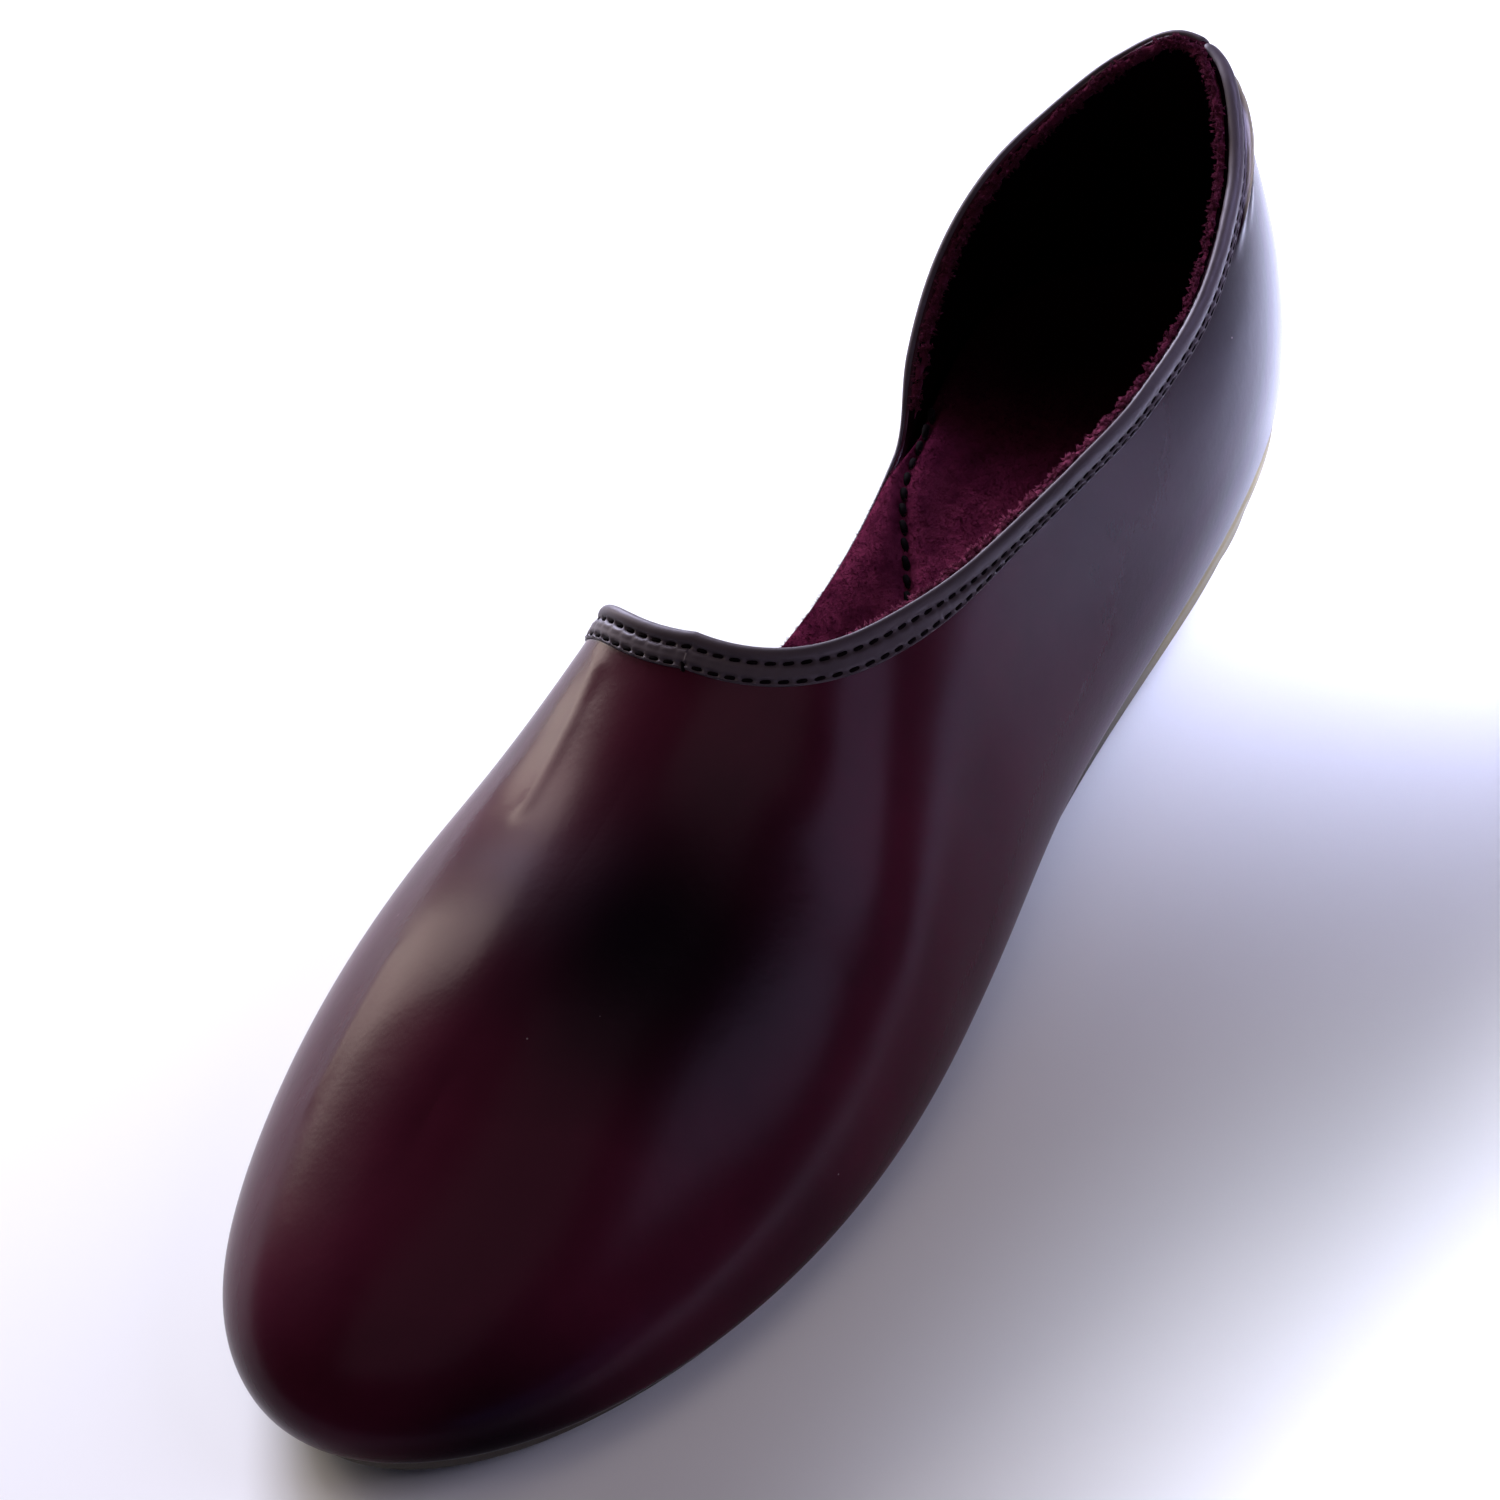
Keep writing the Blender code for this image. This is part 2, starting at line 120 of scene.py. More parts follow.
# %% Curves through a few points
def cubic(xs, ys, closed=False):
    """Smooth curve through points. It is natural at its ends, or closed in a loop."""
    xs, ys = np.asarray(xs, float), np.asarray(ys, float)
    step, count = np.diff(xs), len(xs)
    pitch = np.diff(ys) / step
    rows, right = np.eye(count), np.zeros(count)
    for i in range(1, count - 1):
        rows[i, i - 1:i + 2] = step[i - 1], 2 * (step[i - 1] + step[i]), step[i]
        right[i] = 6 * (pitch[i] - pitch[i - 1])
    if closed:
        rows[0, -1] = -1
        rows[-1, [0, 1, -2, -1]] = 2 * step[0], step[0], step[-1], 2 * step[-1]
        right[-1] = 6 * (pitch[0] - pitch[-1])
    bend = np.linalg.solve(rows, right)

    def at(x, slope=False):
        i = np.clip(np.searchsorted(xs, x) - 1, 0, count - 2)
        t = (x - xs[i]) / step[i]
        s = 1 - t
        if slope:
            return pitch[i] + step[i] / 6 * ((3 * t * t - 1) * bend[i + 1] - (3 * s * s - 1) * bend[i])
        bow = step[i] ** 2 / 6 * ((s ** 3 - s) * bend[i] + (t ** 3 - t) * bend[i + 1])
        return s * ys[i] + t * ys[i + 1] + bow
    return at


def steady(xs, ys):
    """Curve through points that never swings past them."""
    xs, ys = np.asarray(xs, float), np.asarray(ys, float)
    step = np.diff(xs)
    pitch = np.diff(ys) / step
    lean = np.zeros(len(xs))
    same_way = pitch[:-1] * pitch[1:] > 0
    total = np.where(same_way, pitch[:-1] + pitch[1:], 1)
    lean[1:-1] = np.where(same_way, 2 * pitch[:-1] * pitch[1:] / total, 0)
    lean[-1] = pitch[-1]

    def at(x):
        i = np.clip(np.searchsorted(xs, x) - 1, 0, len(xs) - 2)
        t = np.clip((x - xs[i]) / step[i], 0, 1)
        hold = (1 + 2 * t) * (1 - t) ** 2
        swing = t * (1 - t) ** 2 * lean[i] - t * t * (1 - t) * lean[i + 1]
        return hold * ys[i] + (1 - hold) * ys[i + 1] + step[i] * swing
    return at


def between(one, other, t):
    """From one value to the other while t goes from 0 to 1."""
    return one * (1 - t) + other * t


def smooth(t):
    """Eases from 0 to 1."""
    t = np.clip(t, 0, 1)
    return t * t * (3 - 2 * t)


def round_up(t):
    """Rises from 0 to 1 like a quarter of a circle."""
    return np.sqrt(1 - (1 - np.clip(t, 0, 1)) ** 2)


print("halfway, easing is at", smooth(0.5), "and rounding at", round(float(round_up(0.5)), 2))

# %% Sections of the last
# out and inn are the outer and inner side of the foot. x and y place the edge of the sole, bulge and rise
# push the wall out and up where it starts, crown is the middle of the top, full is how far the top stays
# level, drop lowers it, and sole_in is how far the sole lies inside the edge of the upper. Millimetres.
Section = namedtuple("Section", "x_out y_out x_inn y_inn bulge_out bulge_inn rise "
                                "crown_x crown_z full_out full_inn drop sole_in")
SECTIONS = {
    "heel_back": Section(0, 0, 0, 0, 7.3, 7.3, 31, 3.7, 95, 0.26, 0.26, 26, 0.8),
    "heel": Section(21, 23.5, 20, -27, 6.5, 6.9, 28.5, 22.7, 81, 0.22, 0.16, 26, 0.3),
    "waist": Section(60.5, 30.6, 61, -22.8, 7.6, 4.5, 25, 52, 74, 0.41, 0.25, 20, 0.3),
    "instep": Section(110, 34.4, 114.7, -20.6, 6.4, 5.0, 18.4, 94.3, 88.5, 0.43, 0.62, 6, 1.8),
    "ball": Section(170.3, 44.2, 168.6, -36.8, 4.6, 3.3, 21.5, 142, 57.8, 0.48, 0.63, 0, 3.4),
    "toe": Section(228.5, 31.9, 221.4, -30.7, 3.9, 2.3, 11.6, 189, 43.1, 0.55, 0.43, 0, 3.7),
    "toe_tip": Section(249.7, 0, 249.7, 0, 5, 5, 14.4, 209, 36, 0.52, 0.52, 0, 3.0),
}
ANKLE_HALF = 13.7
RIDGE_STARTS, RIDGE_EASE = 3.4, 0.8
SEAT_X, SEAT_Z = (0, 20.5, 61, 112, 169.5, 225.5, 250), (14, 14, 11, 8, 6, 8, 11)
LAST = len(SECTIONS) - 1
ROUND = 2 * LAST           # once round the shoe: forward on the outer side, back on the inner side


def round_the_shoe(out_name, inn_name):
    """Loop through one size of all sections."""
    rows = list(SECTIONS.values())
    forward = [getattr(row, out_name) for row in rows]
    back = [getattr(row, inn_name) for row in rows[-2:0:-1]]
    return cubic(range(ROUND + 1), forward + back + forward[:1], closed=True)


edge_x, edge_y = round_the_shoe("x_out", "x_inn"), round_the_shoe("y_out", "y_inn")
bulge_at, full_at = round_the_shoe("bulge_out", "bulge_inn"), round_the_shoe("full_out", "full_inn")
rise_at, drop_at, crown_x_at, sole_in_at = (
    round_the_shoe(name, name) for name in ("rise", "drop", "crown_x", "sole_in"))
crown_z_over = cubic([s.crown_x for s in SECTIONS.values()], [s.crown_z for s in SECTIONS.values()])
seat_over = cubic(SEAT_X, SEAT_Z)
print("sections", list(SECTIONS))


# %% Walls of the last
HALVINGS = 30


def section_of(w):
    """Section number at a place w on the way round."""
    w = np.mod(w, ROUND)
    return np.where(w <= LAST, w, ROUND - w)


def plan_out(w):
    """Direction straight out from the sole's edge, seen from above."""
    along = unit(np.stack([edge_x(w, slope=True), edge_y(w, slope=True)], -1))
    return np.stack([-along[..., 1], along[..., 0]], -1)


def inset_edge(w, inset, lift):
    """Points inside the upper's edge by inset, above the sole's edge by lift."""
    w = np.mod(np.asarray(w, float), ROUND)
    flat = np.stack([edge_x(w), edge_y(w)], -1) - plan_out(w) * np.reshape(inset, (-1, 1))
    return np.column_stack([flat, seat_over(flat[:, 0]) + lift])


def wall_controls(w):
    """Four control points of the wall: its foot, its swell, its shoulder and its crown."""
    w = np.mod(np.asarray(w, float), ROUND)
    q = section_of(w)
    x = edge_x(w)
    foot = np.stack([x, edge_y(w), seat_over(x)], -1)
    t = np.clip(q / RIDGE_STARTS, 0, 1)
    widest = 16 / (25 * np.sqrt(5))                 # the most that t (1 - t t)^2 comes to
    half = ANKLE_HALF * t * (1 - t * t) ** 2 / widest
    crown_x = crown_x_at(q)
    crown = np.stack([crown_x, np.where(w <= LAST, half, -half), crown_z_over(crown_x)], -1)
    across = foot[..., :2] - crown[..., :2]
    reach = np.linalg.norm(across, axis=-1)
    across /= reach[..., None]
    swell = foot.copy()
    swell[..., :2] += across * bulge_at(w)[..., None]
    swell[..., 2] += rise_at(q)
    slope = crown_z_over(crown_x, slope=True) * smooth((q - RIDGE_STARTS) / RIDGE_EASE + 1)
    level = full_at(w) * reach
    shoulder = crown.copy()
    shoulder[..., :2] += across * level[..., None]
    shoulder[..., 2] += slope * across[..., 0] * level - drop_at(q)
    return foot, swell, shoulder, crown


def wall(w, v):
    """Point on the outside of the upper, v from 0 at the sole's edge to 1 at the crown."""
    foot, swell, shoulder, crown = wall_controls(w)
    v = np.asarray(v, float)[..., None]
    u = 1 - v
    return foot * u ** 3 + 3 * swell * v * u * u + 3 * shoulder * v * v * u + crown * v ** 3


def wall_out(w, v):
    """Direction straight out from the wall."""
    dw, dv = 0.002, 0.004
    v = np.asarray(v, float)
    along = wall(w + dw, v) - wall(w - dw, v)
    up = wall(w, np.minimum(v + dv, 1)) - wall(w, np.minimum(v + dv, 1) - 2 * dv)
    # on the middle line both walls share one tangent plane, which follows the crown
    q = section_of(w)
    middle = (v > 1 - dv) & (q > RIDGE_STARTS)
    forward = np.where(np.mod(w, ROUND) <= LAST, 1.0, -1.0)
    ridge = np.stack([forward, 0 * forward, forward * crown_z_over(crown_x_at(q), slope=True)], -1)
    along = np.where(middle[..., None], ridge, along)
    return unit(np.cross(up, along))


def wall_at_height(w, height):
    """v at which the wall is height over the sole's edge."""
    low, high = np.zeros(len(w)), np.ones(len(w))
    floor = wall_controls(w)[0][:, 2]
    for _ in range(HALVINGS):
        middle = (low + high) / 2
        below = wall(w, middle)[:, 2] - floor < height
        low, high = np.where(below, middle, low), np.where(below, high, middle)
    return (low + high) / 2


wall_top = wall(np.arange(LAST + 1.0), np.ones(LAST + 1))
print("crown of each section", np.round(wall_top[:, 2]), "mm high")

# %% [markdown]
# The top edge of the slipper is high round the outer side and the heel, but on the inner side it drops
# to a low strip beside the insole. It is kept as heights over the sole's edge at a few section numbers,
# so that the leather, the lining, the band and both rows of stitches can all follow the one line.

# %% Top edge
THROAT = 3.95              # section number at which both walls close over the foot
TOP_OUT_AT = (0, 0.35, 1, 1.7, 2.1, 2.5, 3, 3.5)
TOP_OUT = (48.8, 48.1, 40.6, 37.1, 38.2, 41.5, 46.7, 51.5)
STRIP = 3.6
TOP_INN_AT = (0, 0.35, 0.7, 1, 1.6, 1.9, 3.08, 3.2, 3.45, 3.7)
TOP_INN = (48.8, 44.0, 36.6, 30.8, 12.4, STRIP, STRIP, 9.5, 42, 50.6)
throat_height = float(crown_z_over(crown_x_at(THROAT)) - seat_over(edge_x(THROAT)))
throat_height_inn = float(crown_z_over(crown_x_at(THROAT)) - seat_over(edge_x(ROUND - THROAT)))
top_out = steady(TOP_OUT_AT + (THROAT,), TOP_OUT + (throat_height,))
top_inn = steady(TOP_INN_AT + (THROAT,), TOP_INN + (throat_height_inn,))
FINE_STEPS, TOES_CROWD = 600, 1.4
print("the throat is", round(throat_height), "mm over the sole's edge, the inner strip", STRIP, "mm")


def topline(w):
    """v of the upper's top edge. Ahead of the throat the walls close over the foot."""
    q = section_of(w)
    height = np.where(np.mod(w, ROUND) <= LAST, top_out(q), top_inn(q))
    return np.where(q >= THROAT - 1e-6, 1.0, wall_at_height(w, height))


def places_round(rear, vamp):
    """Columns round the shoe: even steps along the top edge, then sections over the toes."""
    dense = THROAT * (1 - np.linspace(1, 0, FINE_STEPS) ** 2)
    sides = []
    for w in (dense, ROUND - dense):
        edge, foot = wall(w, topline(w)), wall_controls(w)[0]
        run = sum(np.linalg.norm(np.diff(line, axis=0), axis=1) for line in (edge, foot))
        run = np.concatenate([[0], run.cumsum()])
        sides.append(np.interp(np.linspace(0, run[-1], rear + 1), run, w))
    over_toes = THROAT + (LAST - THROAT) * np.linspace(0, 1, vamp + 1)[1:] ** TOES_CROWD
    outer, inner = np.concatenate([sides[0], over_toes]), np.concatenate([sides[1], ROUND - over_toes])
    return np.concatenate([outer, inner[-2:0:-1]])


# %% [markdown]
# The solids have their origin under the middle of the shoe, while the table counts from the heel. The
# shift between them is found by laying the box of the finely drawn wall over the box of the upper's solid.
# A small helper then turns arrays of points and faces into an object that rides on the shoe.

# %% From the last to the frame
COLUMNS_REAR, COLUMNS_VAMP, ROWS_DRAWN = 130, 80, 60
columns = places_round(COLUMNS_REAR, COLUMNS_VAMP)
steps_up = np.linspace(0, 1, ROWS_DRAWN)[:, None]
drawn = wall(np.tile(columns, (len(steps_up), 1)), steps_up * topline(columns))
upper_low, upper_high = (np.array(corner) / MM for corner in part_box("upper"))
shift = (drawn.min(axis=(0, 1)) + drawn.max(axis=(0, 1)) - upper_low - upper_high) / 2
shift[2] = 0
print("the last's zero point lies", np.round(shift, 2), "mm from the frame's origin")


def numbers(rows, count):
    """Point numbers in rows of count."""
    return np.arange(rows * count).reshape(rows, count)


def grid_faces(number, around=True):
    """Quads between neighbouring rows of point numbers, closed round the shoe or left open."""
    below, above = number[:-1], number[1:]
    quads = np.stack([below, above, np.roll(above, -1, axis=1), np.roll(below, -1, axis=1)], -1)
    return (quads if around else quads[:, :-1]).reshape(-1, 4).tolist()


def piece(name, points, faces, finish, slot, node=None):
    """Mesh object from points in millimetres on the last, riding on the shoe."""
    mesh = bpy.data.meshes.new(name)
    faces = [tuple(dict.fromkeys(face)) for face in faces]      # a quad with a doubled corner is a triangle
    mesh.from_pydata(((points - shift) * MM).tolist(), [], [face for face in faces if len(face) > 2])
    mesh.shade_smooth()
    mesh.materials.append(finish)
    made = put_in_scene(name, mesh)
    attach(made, "root")
    if node:
        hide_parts(node)
    print(name, len(mesh.vertices), "points")
    return made


def solidify(made, thickness):
    """Gives a skin its thickness, inwards."""
    modifier = made.modifiers.new("thickness", "SOLIDIFY")
    modifier.thickness, modifier.offset = thickness * MM, -1


# %% [markdown]
# Materials are node trees. This helper makes one node and fills its inputs: a number or colour is set on
# the socket, and another node's output is linked to it. All textures use the object's own coordinates in
# metres, so a scale of 1000 gives features of about a millimetre and nothing slides with the view.

# %% Helpers for finishes
def fill(tree, made, **inputs):
    """Fills a node's inputs: links an output, or writes down a number or a colour."""
    for key, value in inputs.items():
        socket = made.inputs[key.replace("_", " ")]
        if isinstance(value, bpy.types.NodeSocket):
            tree.links.new(value, socket)
        else:
            socket.default_value = value


def node(tree, kind, settings=None, **inputs):
    made = tree.nodes.new("ShaderNode" + kind)
    for key, value in (settings or {}).items():
        setattr(made, key, value)
    fill(tree, made, **inputs)
    return made


def new_finish(name):
    """A material, its node tree, its shader and the places on the object."""
    material = bpy.data.materials.new(name)
    material.use_nodes = True
    tree = material.node_tree
    return material, tree, tree.nodes["Principled BSDF"], node(tree, "TexCoord").outputs["Object"]


def noise(tree, place, **sizes):
    return node(tree, "TexNoise", Vector=place, **sizes).outputs["Fac"]


def bumped(tree, height, strength, distance, **under):
    """Normals of a surface with a height on it, over other normals if there are any."""
    return node(tree, "Bump", Strength=strength, Distance=distance, Height=height, **under).outputs["Normal"]


def along_shoe(tree, place):
    return node(tree, "SeparateXYZ", Vector=place).outputs["X"]


# %% Helpers for colours and values
def ramp(tree, factor, stops):
    """Colours that run into each other: pairs of a place from 0 to 1 and a colour."""
    made = node(tree, "ValToRGB", Fac=factor)
    points = made.color_ramp.elements
    while len(points) < len(stops):
        points.new(0.5)
    for point, (place, colour) in zip(points, stops):
        point.position, point.color = place, (*colour, 1)
    return made.outputs["Color"]


def stretch(tree, value, low, high, first=0.0, last=1.0, ease="LINEAR"):
    """Goes from first to last while a value goes from low to high."""
    made = node(tree, "MapRange", {"interpolation_type": ease}, Value=value, From_Min=low, From_Max=high,
                To_Min=first, To_Max=last)
    return made.outputs["Result"]


def rise(tree, value, low, high):
    """Eases from 0 to 1 while a value goes from low to high."""
    return stretch(tree, value, low, high, ease="SMOOTHSTEP")


def times(tree, one, other):
    made = node(tree, "Math", {"operation": "MULTIPLY"})
    tree.links.new(one, made.inputs[0])
    tree.links.new(other, made.inputs[1])
    return made.outputs["Value"]


def blend(tree, factor, one, other):
    """One colour, giving way to another where the factor is 1."""
    return node(tree, "Mix", {"data_type": "RGBA"}, Factor=factor, A=one, B=(*other, 1)).outputs["Result"]


# %% [markdown]
# The leather is a dark wine colour, dyed deep and then waxed. It is smooth and half glossy: clear light
# runs over it in soft streaks. The base colour moves between near black and a redder wine, as the dye does,
# and in a few places it is pulled to near black as painted shade. A very fine grain goes into the bump. The
# wax could be a clear coat, but a tinted shine on the leather itself is enough, and it fades towards the worn
# toe. A few specks of dust are small pale dots close to the centres of a texture's cells. The crests of folds
# that stand up are coloured pale as a painted highlight, and the mesh will say how far they stand.

# %% Leather
# painted shade: the base colour is pulled to near black where the foot bends, along the front edge of the
# toe and round the heel, standing in for shade and dark reflections there: centre and radius in metres
PAINTED_SHADE_PLACES = [((0.054, 0.012, 0.043), 0.036), ((0.117, 0.024, 0.010), 0.026),
               ((-0.100, 0.030, 0.035), 0.090)]
WAXED, WORN = (0.075, 0.030), 0.6   # the toe is worn duller, and the wax shines from the flex back
WAX_TINT = (0.92, 0.74, 1.0, 1)
# painted highlight: the crests of the folds beside the heel are coloured pale, standing in for the light they
# catch
PAINTED_CREST_HIGHLIGHT, CREST_HIGHLIGHT_HEIGHTS = (0.19, 0.155, 0.115), (0.3, 1.1)      # pale crests of folds of these heights
DUST, DUST_SIZE, DUST_RARE = (0.16, 0.12, 0.13), (0.060, 0.045), (0.970, 0.975)


def leather(name, deep, warm, roughness, gloss, grain, shade_places=()):
    material, tree, shader, place = new_finish(name)
    dye_and_painted_shade = noise(tree, place, Scale=22, Detail=4, Roughness=0.55)
    # painted shade: round each of these places the base colour is pulled towards near black
    for centre, radius in shade_places:
        away = node(tree, "VectorMath", {"operation": "DISTANCE"})
        tree.links.new(place, away.inputs[0])
        away.inputs[1].default_value = centre
        dye_and_painted_shade = times(tree, dye_and_painted_shade, rise(tree, away.outputs["Value"], 0.05 * radius, radius))
    cells = node(tree, "TexVoronoi", Vector=place, Scale=420)
    rare = node(tree, "SeparateColor", Color=cells.outputs["Color"]).outputs["Red"]
    dust = times(tree, rise(tree, cells.outputs["Distance"], *DUST_SIZE), rise(tree, rare, *DUST_RARE))
    # the fold heights on the mesh place the painted highlight on the crests
    crest_highlight = node(tree, "Attribute", {"attribute_name": "crest_highlight"}).outputs["Fac"]
    colour = blend(tree, dust, ramp(tree, dye_and_painted_shade, [(0.0, deep), (0.6, warm)]), DUST)
    haze = noise(tree, place, Scale=60, Detail=3)
    pores = node(tree, "TexVoronoi", {"feature": "SMOOTH_F1"}, Vector=place, Scale=1500).outputs["Distance"]
    hide = noise(tree, place, Scale=260, Detail=5, Roughness=0.6)
    fill(tree, shader, Base_Color=blend(tree, rise(tree, crest_highlight, *CREST_HIGHLIGHT_HEIGHTS), colour, PAINTED_CREST_HIGHLIGHT),
         Roughness=stretch(tree, haze, 0.3, 0.7, roughness - 0.015, roughness + 0.02),
         Normal=bumped(tree, hide, grain, 0.0004, Normal=bumped(tree, pores, grain, 0.00008)),
         Specular_IOR_Level=stretch(tree, along_shoe(tree, place), *WAXED, WORN * gloss, gloss),
         Specular_Tint=WAX_TINT)
    return material


wine_leather = leather("wine_leather", (0.0025, 0.0005, 0.0022), (0.0410, 0.0048, 0.0130), 0.24, 0.10, 0.08,
                       PAINTED_SHADE_PLACES)
band_leather = leather("band_leather", (0.0220, 0.0150, 0.0190), (0.0520, 0.0400, 0.0480), 0.48, 0.14, 0.20)
print("leathers", wine_leather.name, band_leather.name)

# %% [markdown]
# Inside, the slipper is lined with a brushed fleece, and the same cloth covers the insole. Up close it
# is a soft mottle of darker and lighter wine with a pale sheen at its edges. A cloth like that could be
# grown as hair over everything, but most of it is seen flat, so the body gets colour, bump and sheen
# here, and real tufts are added later only where they show.

# %% Fleece
# painted shade: from the heel forward the cloth runs from near black to its own colour, standing in for the
# shadow inside the heel
HEEL_PAINTED_SHADE = (-0.095, -0.050)        # from the heel forward, the cloth clears from dark to its own colour
SHEEN_TINT = (0.75, 0.25, 0.42, 1)


def fleece(name, deep, dark, light, sheen):
    material, tree, shader, place = new_finish(name)
    mottle = noise(tree, place, Scale=160, Detail=6, Roughness=0.65)
    # painted shade: the mottle is pulled to near black towards the heel
    tone_and_painted_shade = times(tree, mottle, rise(tree, along_shoe(tree, place), *HEEL_PAINTED_SHADE))
    nap = noise(tree, place, Scale=1400, Detail=5, Roughness=0.7)
    fill(tree, shader, Base_Color=ramp(tree, tone_and_painted_shade, [(0.0, deep), (0.36, dark), (0.64, light)]),
         Normal=bumped(tree, nap, 0.9, 0.0006), Roughness=0.95, Specular_IOR_Level=0.0,
         Sheen_Weight=sheen, Sheen_Roughness=0.45, Sheen_Tint=SHEEN_TINT)
    return material


lining_fleece_painted_shade, insole_fleece, tuft_fleece_painted_sheen = (fleece(*recipe) for recipe in (
    # painted shade: the lining is the same fleece as the insole, coloured near black to stand in for the
    # shade inside the shoe
    ("lining_fleece_painted_shade", (0.002, 0.0004, 0.001), (0.004, 0.0005, 0.0018), (0.008, 0.0009, 0.0036), 0),
    ("insole_fleece", (0.003, 0.0005, 0.001), (0.038, 0.0044, 0.0150), (0.105, 0.0150, 0.0400), 0),
    # the tufts are paler than the same cloth on the insole: partly their own fuzz, partly a painted sheen of
    # fibres catching the light
    ("tuft_fleece_painted_sheen", (0.050, 0.0060, 0.018), (0.060, 0.0080, 0.0230), (0.200, 0.0400, 0.0850), 0.15)))
print("cloths", lining_fleece_painted_shade.name, insole_fleece.name, tuft_fleece_painted_sheen.name)

# %% [markdown]
# The upper is one piece of leather, pulled over the last and turned under at the sole. The skin is drawn
# as rows from the lasted margin, round the turn and up the wall to the top edge, and a Solidify modifier
# gives it a millimetre of thickness. The creases are listed one by one: each is a line on the shoe, in
# millimetres, that lowers or raises the leather softly round it. The folds beside the heel run along under
# the top edge, so they are kept by their distance from it. How far they stand out goes on the mesh as
# "crest_highlight", for a pale painted highlight on their crests.

# %% Creases of the leather
Crease = namedtuple("Crease", "start end width depth")
CREASES = [
    Crease((145, -14, 52.5), (166, -14, 45.5), 1.5, -0.24),      # fold line along the inner shoulder
    Crease((169, -3, 49.5), (166, -16, 45), 13.5, 1.05),         # hollow behind the ball of the foot
    Crease((190, -20.5, 36), (212, -21, 28.5), 1.6, -0.12),      # line beside the toes
    Crease((128, 34, 28), (146, 40, 16), 7.0, 0.25),             # slack of the outer side at the flex
    Crease((150, 20, 50), (158, 34, 36), 8.0, 0.30),             # hollow from throat to little toe
]
UNEVEN, UNEVEN_X, UNEVEN_Y, UNEVEN_Z = 0.10, 11, 17, 9           # height and lengths of the hide's own waves
# the leather is gathered into folds under the band beside the heel: distance under the top edge, section
# number where the fold ends, and its height
GATHERS = ((4.2, 1.25, 1.25), (5.9, 1.05, 1.15), (7.5, 0.8, 0.6))
GATHER_STARTS, GATHER_GROWS, GATHER_FADES = 0.01, 0.1, 0.5      # section numbers
GATHER_WIDTH, GATHER_WAVE, GATHER_WAVES = 0.75, 0.3, 8
print(len(CREASES), "creases and", len(GATHERS), "folds")


def relief(points):
    """How far the leather stands out from the last, in millimetres."""
    x, y, z = np.moveaxis(points, -1, 0)
    height = UNEVEN * np.sin(x / UNEVEN_X + y / UNEVEN_Y) * np.sin(z / UNEVEN_Z + 1)
    for crease in CREASES:
        start, run = np.array(crease.start), np.subtract(crease.end, crease.start)
        t = np.clip((points - start) @ run / (run @ run), 0, 1)
        away = np.linalg.norm(points - start - t[..., None] * run, axis=-1)
        height = height - crease.depth * np.exp(-(away / crease.width) ** 2)
    return height


def gathered(w, points):
    """How far the folds beside the heel stand out."""
    below = top_out(section_of(w)) - (points[:, 2] - wall_controls(w)[0][:, 2])
    height = np.zeros(len(w))
    for under, end, tall in GATHERS:
        shown = smooth((w - GATHER_STARTS) / GATHER_GROWS) * smooth((end - w) / GATHER_FADES)
        wave = under + GATHER_WAVE * np.sin(GATHER_WAVES * w + under)
        height += tall * shown * np.exp(-((below - wave) / GATHER_WIDTH) ** 2)
    return height


# %% Upper
MARGIN, MARGIN_MIDDLE, TURN_IN, TURN_UP = 7.0, 4.0, 1.6, 1.5
TURN_CORNER = (0.15, 0.05)          # inset and lift of the corner that the turn is rounded from
LEATHER = 1.0
ROWS_WALL, ROWS_TURN = 76, 6
ROWS_CROWD = 1.5           # how much closer the rows lie towards the top edge


def skin_points(w, depth=0.0, count=ROWS_WALL):
    """Rows of points from turn to top edge, at a depth under the outside, and the folds' heights there."""
    start, top = wall_at_height(w, np.full(len(w), TURN_UP)), topline(w)
    rows, folds = [], []
    for share in 1 - np.linspace(1, 0, count) ** ROWS_CROWD:
        v = start + (top - start) * share
        place, out = wall(w, v), wall_out(w, v)
        folds.append(gathered(w, place))
        rows.append(place + out * (relief(place) + folds[-1] - depth)[:, None])
    return rows, folds


def joined_over_toes(number):
    """Ahead of the throat both walls end in the same points on the middle line."""
    count = number.shape[1]
    for i in range(COLUMNS_REAR, count // 2):
        number[-1, (count - i) % count] = number[-1, i]
    return number


def cut_upper():
    rows, folds = skin_points(columns)
    under, corner = inset_edge(columns, TURN_IN, 0), inset_edge(columns, *TURN_CORNER)
    turn = [under * (1 - t) ** 2 + 2 * corner * t * (1 - t) + rows[0] * t * t
            for t in np.linspace(0, 1, ROWS_TURN + 1)[:-1]]
    rows = [inset_edge(columns, inset, 0) for inset in (MARGIN, MARGIN_MIDDLE)] + turn + rows
    number = joined_over_toes(numbers(len(rows), len(columns)))
    upper = piece("upper_leather", np.concatenate(rows), grid_faces(number), wine_leather, "upper", "upper")
    # the fold heights go on the mesh to place the painted highlight on their crests
    crest_highlight = np.zeros((len(rows), len(columns)))
    crest_highlight[-len(folds):] = folds
    upper.data.attributes.new("crest_highlight", "FLOAT", "POINT").data.foreach_set("value", crest_highlight.ravel())
    solidify(upper, LEATHER)


cut_upper()

# %% [markdown]
# The band along the top edge is a strip of the same leather, folded over the edge into a round bead and
# sewn down with two rows. Across the throat the rows lie apart, and along the outer side they draw together
# under the bead. To lay it, each station on the top edge walks straight away from the opening over the
# wall. That gives a place and an outward direction at every distance from the edge, and the strip's cross
# section can be drawn in two plain sizes: how far down, and how far out.

